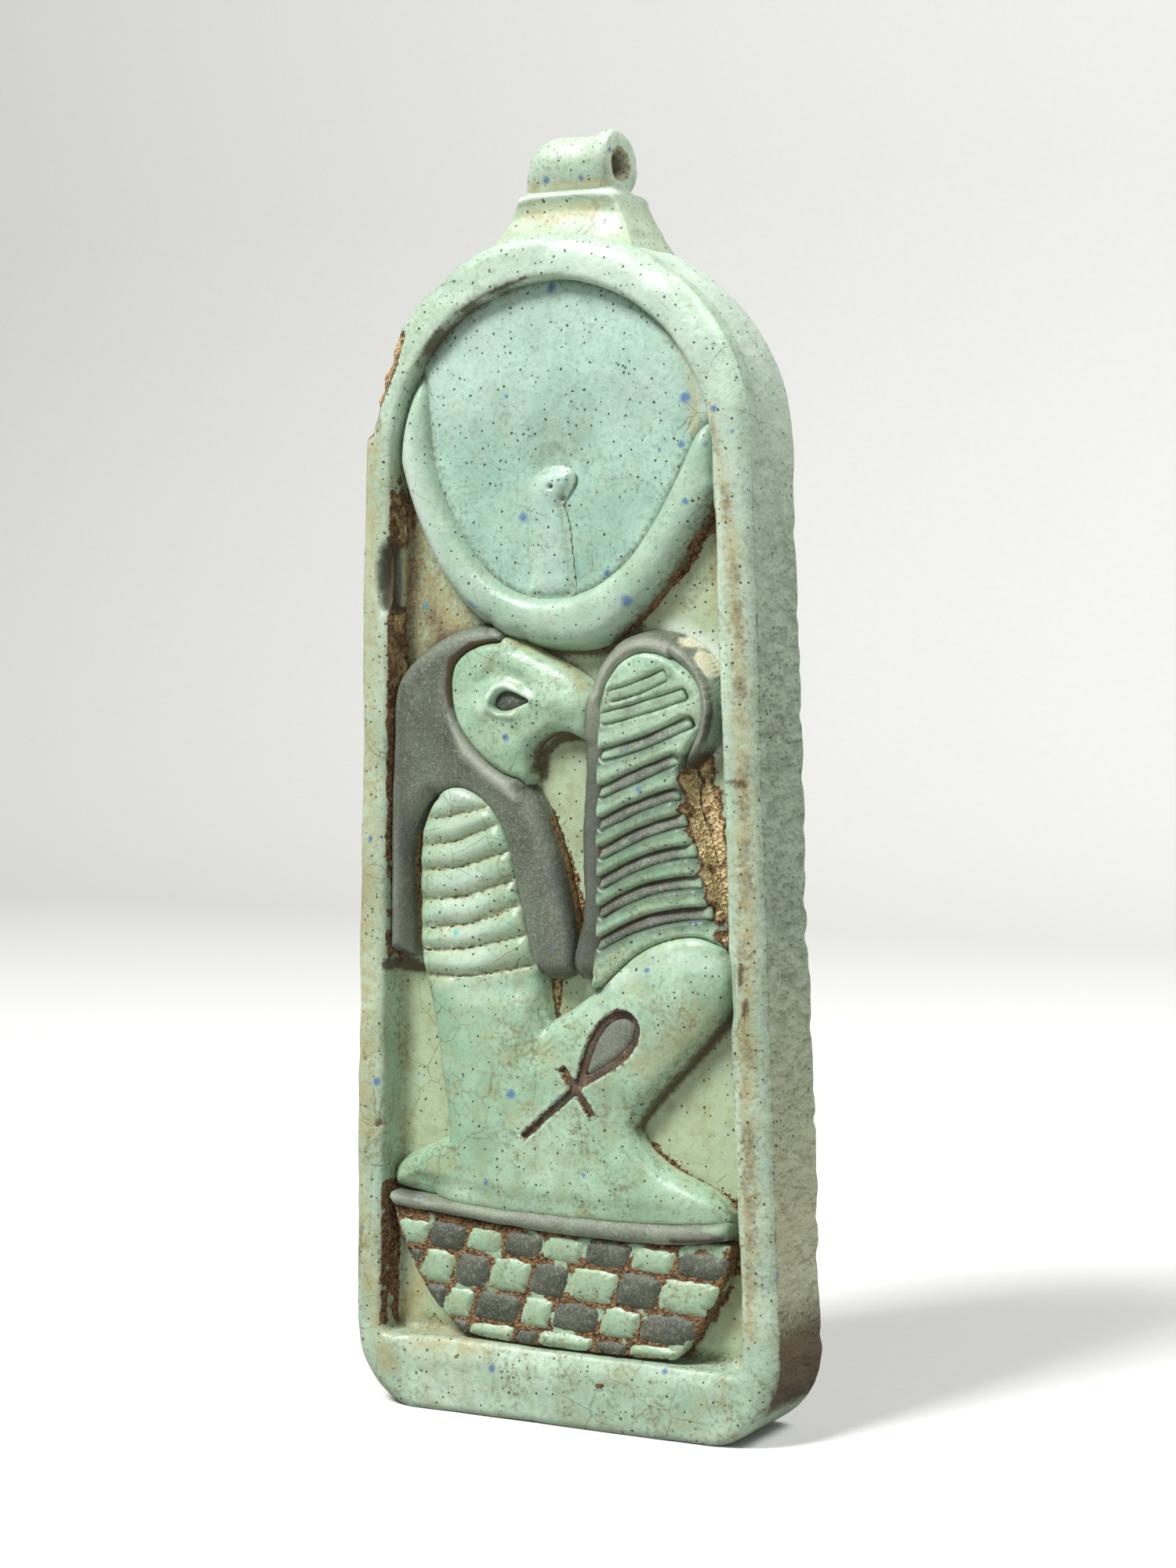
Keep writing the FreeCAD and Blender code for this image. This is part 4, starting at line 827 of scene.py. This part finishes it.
ankh_filling = worn_copy("ankh_filling", 0.09, 5)
points, outward, height = round_over(ankh_filling, "ankh_filling", (0.7, 0.15), flare=0.0, swell=0.1)
moved(ankh_filling, points)
paint(ankh_filling, "dirt_and_shade", 0.7 * held(0.75 - height))
filling_paste = dark_paste("manganese_paste_filling", "7B8173", "646B5E")
seat(ankh_filling, "ankh_filling", filling_paste)


# Feather
# The feather of truth: a green vane with a dark border, and nine dark barbs in cells cut across it.
# Its right edge has lost its glaze down to the sandy core.

vane = worn_copy("feather_vane", 0.13, 5)
points, outward, height = round_over(vane, "feather_vane", (0.8, 0.5), (0.8, 0.15), 0.5)
x, y, z = points.T
front_side = held(-outward[:, 1])
barbs = [[(4.3, 51.3), (6.6, 52.0), (8.8, 52.9)], [(3.8, 49.8), (6.9, 50.6), (10.2, 51.6)],
         [(3.9, 47.4), (7.0, 48.2), (10.6, 49.8)], [(3.7, 44.8), (6.8, 46.1), (9.6, 47.2)],
         [(3.7, 42.6), (6.8, 43.9), (9.6, 44.9)], [(3.7, 40.6), (6.8, 42.0), (10.1, 43.1)],
         [(3.7, 38.5), (6.8, 40.0), (10.9, 41.0)], [(3.7, 36.5), (6.8, 38.0), (11.3, 38.8)],
         [(3.5, 34.2), (7.1, 35.9), (12.1, 36.7)]]
valley = np.maximum.reduce([nearness(points, [place + (0.85,) for place in barb]) for barb in barbs])
deep = np.clip((50.8 - z) / 2, 0.3, 1)
y += (0.42 * deep * valley ** 2 - 0.26) * front_side * height
x += 0.5 * held((x - 9.8) / 1.2) * held((z - 47.5) / 1.0)
# Its right edge broke away in a slope down to the ground
broken_edge = nearness(points, [(10.5, 46.2, 1.3), (10.5, 44.6, 1.9), (10.9, 43.2, 2.0), (11.7, 41.0, 2.0),
                                (12.3, 38.8, 2.0), (12.9, 36.4, 2.0), (13.8, 34.3, 1.6)])
y += 1.5 * held(broken_edge - 0.25) * height * (1 + 0.3 * unevenness(points, 0.8))
push(points, outward, 0.06 * unevenness(points, 1.6))
points = moved(vane, points)[0]
paint(vane, "dirt_and_shade", 0.25 * valley ** 6)
paint(vane, "stain", np.maximum(0.5 * valley ** 2, 0.5 * held(0.8 - height)))
# Grey bled out of the barbs, below them and past their ends
strips = [nearness(points, [(barb[0][0] - 0.7, barb[0][1] - 0.55, 0.8)] + [(x, z - 0.3, 0.95) for x, z in barb]
                   + [(barb[2][0] + 0.5, barb[2][1] - 0.1, 0.6)]) for barb in barbs]
paint(vane, "grey", np.maximum.reduce(strips) * np.clip((52.0 - points[:, 2]) / 4, 0.45, 1))
paint(vane, "core", held((broken_edge - 0.42 + 0.35 * unevenness(points, 1.1)) * 4))
seat(vane, "feather_vane", figure_glaze)

border = worn_copy("feather_rim", 0.11, 6)
inset = gap_to(outlines["feather_rim"], points_of(border)[0])
points, outward, height = round_over(border, "feather_rim", (0.9, 0.9), (0.5, 0.25), 0.3, 0.12)
x, y, z = points.T
push(points, outward, 0.05 * unevenness(points, 1.3))
on_shaft = (x < 4.3) * held((51 - z) / 2)
x += np.where(outward[:, 0] > 0, 0.4, 0.1) * outward[:, 0] * on_shaft
y -= 0.15 * height * on_shaft
from_vane = gap_to(outlines["feather_vane"], points)
y += 0.55 * held(1 - from_vane / 0.9) * (x > 9.0) * height
# At the right its outer half was thin, and pale glaze ran over it
thinned = held(1 - inset / 0.9) * (from_vane > 0.9) * held((x - 8.8) / 2.0) * held((z - 47.3) / 1.5)
y += 0.5 * held(2 * thinned) * height
points, outward = moved(border, points)
x, y, z = points.T
bend = hollowness(border, points, outward, 6)
paint(border, "dirt_and_shade", 0.4 * held(0.5 - height) + 0.5 * stroke(points, [(10.3, 46.6, 0.5), (11.3, 47.4, 0.4)])
      + 0.7 * stroke(points, [(2.0, 31.9, 0.5)]))
# Worn pale on the arrises, and paler paste with a painted highlight along the top of the curve
paint(border, "wear_and_highlight", held(-bend * 16, 0.35)
      + 0.4 * stroke(points, [(3.4, 51.5, 0.8), (4.6, 53.6, 0.9), (7.0, 54.9, 0.9), (9.6, 54.2, 0.8)]))
upper_part = held((z - 52.2) / 0.8)
glazed_over = thinned * held(1.6 - inset / (0.26 + 0.36 * upper_part)) * (0.8 + 0.8 * unevenness(points, 1.0))
paint(border, "overrun", 1.5 * glazed_over * upper_part)
paint(border, "film", 1.5 * glazed_over * (1 - upper_part))
beside_vane = stroke(points, [(3.7, 44.8, 0.3), (3.6, 33.5, 0.35)])
paint(border, "core", 0.72 * beside_vane * held(0.6 + 1.6 * unevenness(points + 5, 0.9)))
paint(border, "shade", 0.75 * held((50 - z) / 4) * (x < 5)
      + stroke(points, [(10.4, 46.6, 0.9), (11.8, 47.6, 1.1), (12.2, 50.0, 0.8)]))
border_paste = dark_paste("manganese_paste_border", "767E6C", "5C6455")
seat(border, "feather_rim", border_paste)

# Each barb is darkest along its upper edge, with the glaze of the vane run over its lower edge and its ends.
# The two upper ones lie nearly flush.
barb_paste = dark_paste("manganese_paste_barbs", "686E60", "4E5549")
shades = (0.2, 0.3, 0.5, 0.5, 0.5, 0.5, 0.6, 0.7, 0.8)
films = (0.55, 0.45, 0.2, 0.0, 0.0, 0.0, 0.0, 0.0, 0.0)
for number, (line, shade, film) in enumerate(zip(barbs, shades, films), 1):
    node = "feather_barb_%d" % number
    flush = number < 3
    edge, lift, tilt, dip, soil_and_shade = (0.02, 0.22, 0.05, 0.05, 0.0) if flush else (0.06, 0.1, 0.14, 0.2, 0.4)
    barb = worn_copy(node, 0.09, 3)
    points, outward, height = round_over(barb, node, (0.3, edge), flare=0.0, swell=0.1)
    x, y, z = points.T
    push(points, outward, 0.05 * unevenness(points + 9 * number, 0.9))
    y -= lift * height
    rise = z - np.interp(x, *np.array(line).T)
    y += tilt * np.clip(rise / 0.3, -1.2, 1) * height
    middle, half = x.mean(), (x.max() - x.min()) / 2
    towards_end = np.abs(x - middle) / half
    y += dip * towards_end ** 4 * height
    x -= 0.35 * held((middle - x) / half) ** 3
    moved(barb, points)
    paint(barb, "dirt_and_shade", 0.1 + 0.4 * unevenness(points, 1.3) + soil_and_shade * held((rise - 0.15) / 0.25))
    paint(barb, "shade", shade * held((rise + 0.1) / 0.45))
    paint(barb, "film", film + (0.9 if number < 5 else 0.45) * towards_end ** 4
          + 0.4 * held((-0.2 - rise) / 0.25) + 0.35 * unevenness(points + 5 * number, 1.2))
    seat(barb, node, barb_paste)


# Basket
# A border of dark paste over a chequer of light and dark tablets, pressed into a bed of brown paste.
# No two of the tablets are the same size, and the bed shows as a gritty joint all round them.

rim = worn_copy("basket_rim", 0.14, 6)
points, outward, height = round_over(rim, "basket_rim", (0.9, 0.5), (0.9, 0.45), 0.2)
push(points, outward, 0.06 * unevenness(points, 1.6))
points, outward = moved(rim, points)
bend = hollowness(rim, points, outward, 6)
paint(rim, "dirt_and_shade", 0.8 * held(0.5 - height) + 0.7 * stroke(points, [(9.0, 13.9, 0.35), (12.6, 14.2, 0.35)]))
paint(rim, "wear_and_highlight", held(-bend * 16, 0.35))
dark_spots = [[(7.0, 14.2, 0.3)], [(9.2, 14.0, 0.3)], [(12.3, 14.2, 0.5), (12.7, 14.4, 0.3)]]
paint(rim, "shade", 0.9 * sum(stroke(points, spot) for spot in dark_spots)
      + 0.5 * stroke(points, [(-13.4, 15.9, 0.8), (-12.0, 15.2, 0.5)]))
paint(rim, "film", 0.05 + 0.4 * unevenness(points, 2.0)
      + 0.7 * stroke(points, [(13.2, 14.9, 0.8), (11.5, 15.0, 0.4)]))
seat(rim, "basket_rim", border_paste)

bed = worn_copy("basket_bed", 0.16, 3)
points, outward = points_of(bed)
x, y, z = points.T
push(points, outward, 0.09 * unevenness(points, 0.8) + 0.05 * unevenness(points, 0.4))
y -= 0.2 * (outward[:, 1] < -0.5)
moved(bed, points)
# Glaze has run over the joints in places
run_over = held(3.5 * unevenness(points + 5, 2.0) - 0.25)
paint(bed, "core", 0.66 - 0.6 * run_over)
paint(bed, "dirt_and_shade", (1 - run_over) * held(0.4 + 0.5 * unevenness(points, 1.5)))
bed_paste = fired_paste("bedding_paste", "A3BDA0", "8BA98B", 0.5, 0.3)
seat(bed, "basket_bed", bed_paste)

check_pastes = {
    "light_check_glaze": fired_paste("faience_light_check", "A3BDA0", "8BA98B", 0.4, 0.6),
    "dark_check_paste": dark_paste("manganese_paste_check", "555A4C", "3E4438")}
for node in sorted(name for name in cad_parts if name.startswith("check_")):
    slot = "light_check_glaze" if node.startswith("check_light") else "dark_check_paste"
    check = worn_copy(node, 0.1, 9)
    points, outward, height = round_over(check, node, (1.1, 0.42), flare=0.05, swell=0.08)
    x, y, z = points.T
    # Corners rounded in plan
    low, high = points.min(axis=0), points.max(axis=0)
    middle, half = (low + high)[[0, 2]] / 2, (high - low)[[0, 2]] / 2
    across = np.abs((points[:, [0, 2]] - middle) / half) + 1e-6
    rounder = across.max(axis=1) / (across ** 4).sum(axis=1) ** 0.25
    points[:, [0, 2]] = middle + (points[:, [0, 2]] - middle) * 1.05 * rounder[:, None]
    seed = points.mean(axis=0) * 3
    push(points, outward, 0.05 * unevenness(points + seed, 1.3))
    y += 0.12 * noise.noise(Vector(seed))
    moved(check, points)
    paint(check, "dirt_and_shade", 0.8 * held(0.6 - height))
    paint(check, "stain", held(0.9 - height, 0.8))
    seat(check, node, check_pastes[slot])


# Stand, light and camera
# A pale sweep under and behind the plaque, a large soft lamp at the upper left and a weaker one at the right.

sweep = bmesh.new()
half_wide, near_end, bend_start, bend_radius, top_end = 0.6, -0.5, 0.3, 0.15, 0.8
turns = [math.pi / 16 * step for step in range(1, 9)]
profile = [(near_end, 0), (bend_start, 0)]
profile += [(bend_start + bend_radius * math.sin(turn), bend_radius * (1 - math.cos(turn))) for turn in turns]
profile = [sweep.verts.new((-half_wide, *place)) for place in profile + [(bend_start + bend_radius, top_end)]]
lines = [sweep.edges.new(pair) for pair in zip(profile, profile[1:])]
made = bmesh.ops.extrude_edge_only(sweep, edges=lines)
far_side = [part for part in made["geom"] if isinstance(part, bmesh.types.BMVert)]
bmesh.ops.translate(sweep, vec=(2 * half_wide, 0, 0), verts=far_side)
bmesh.ops.recalc_face_normals(sweep, faces=sweep.faces)
backdrop = bpy.data.objects.new("backdrop", bpy.data.meshes.new("backdrop"))
sweep.to_mesh(backdrop.data)
sweep.free()
backdrop.data.shade_smooth()
bpy.context.scene.collection.objects.link(backdrop)
backdrop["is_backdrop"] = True
card = bpy.data.materials.new("pale_card")
card.use_nodes = True
tree = card.node_tree
fibre = add(tree, "TexNoise", {"Vector": add(tree, "TexCoord", {})["Object"], "Scale": 900.0})[0]
pale = coated(tree, tint("E2E2DF"), "E8E8E5", 1.0, fibre)
# The card sends less light back onto the plaque than the camera sees on it
seen = add(tree, "LightPath", {})["Is Camera Ray"]
pale = coated(tree, tint("9C9C98"), pale, 1.0, seen)
fill(tree, tree.nodes["Principled BSDF"], {"Base Color": pale, "Roughness": 0.9})
backdrop.data.materials.append(card)

for title, place, size, power in (("key", (-0.16, -0.36, 0.55), 0.18, 6.2),
                                  ("fill", (0.40, -0.40, 0.10), 0.35, 0.5),
                                  ("rim", (0.26, 0.08, 0.40), 0.14, 1.5)):
    lamp = bpy.data.lights.new(title, "AREA")
    lamp.size = size
    lamp.energy = power
    holder = bpy.data.objects.new(title, lamp)
    bpy.context.scene.collection.objects.link(holder)
    holder.location = place
    holder.rotation_mode = "QUATERNION"
    holder.rotation_quaternion = (Vector((0, 0, 0.05)) - Vector(place)).to_track_quat("-Z", "Y")
world = bpy.data.worlds.new("room")
world.use_nodes = True
seen = add(world.node_tree, "LightPath", {})["Is Camera Ray"]
glow = add(world.node_tree, "MapRange", {0: seen, 3: 0.2, 4: 0.9})[0]
fill(world.node_tree, world.node_tree.nodes["Background"], {0: (1, 1, 1, 1), 1: glow})
bpy.context.scene.world = world
bpy.context.scene.view_settings.view_transform = "Standard"

camera = bpy.data.objects.new("camera", bpy.data.cameras.new("camera"))
bpy.context.scene.collection.objects.link(camera)
look, up = Vector((-0.4770, 0.8769, -0.0599)).normalized(), Vector((-0.0204, 0.0571, 0.9982))
right = look.cross(up).normalized()
up = right.cross(look)
turned = Matrix((right, up, -look)).transposed().to_4x4()
camera.matrix_world = Matrix.Translation((0.10670, -0.19480, 0.05834)) @ turned
camera.data.lens = 72.34
camera.data.sensor_width = 36
camera.data.clip_start = 0.005
bpy.context.scene.camera = camera

low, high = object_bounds()
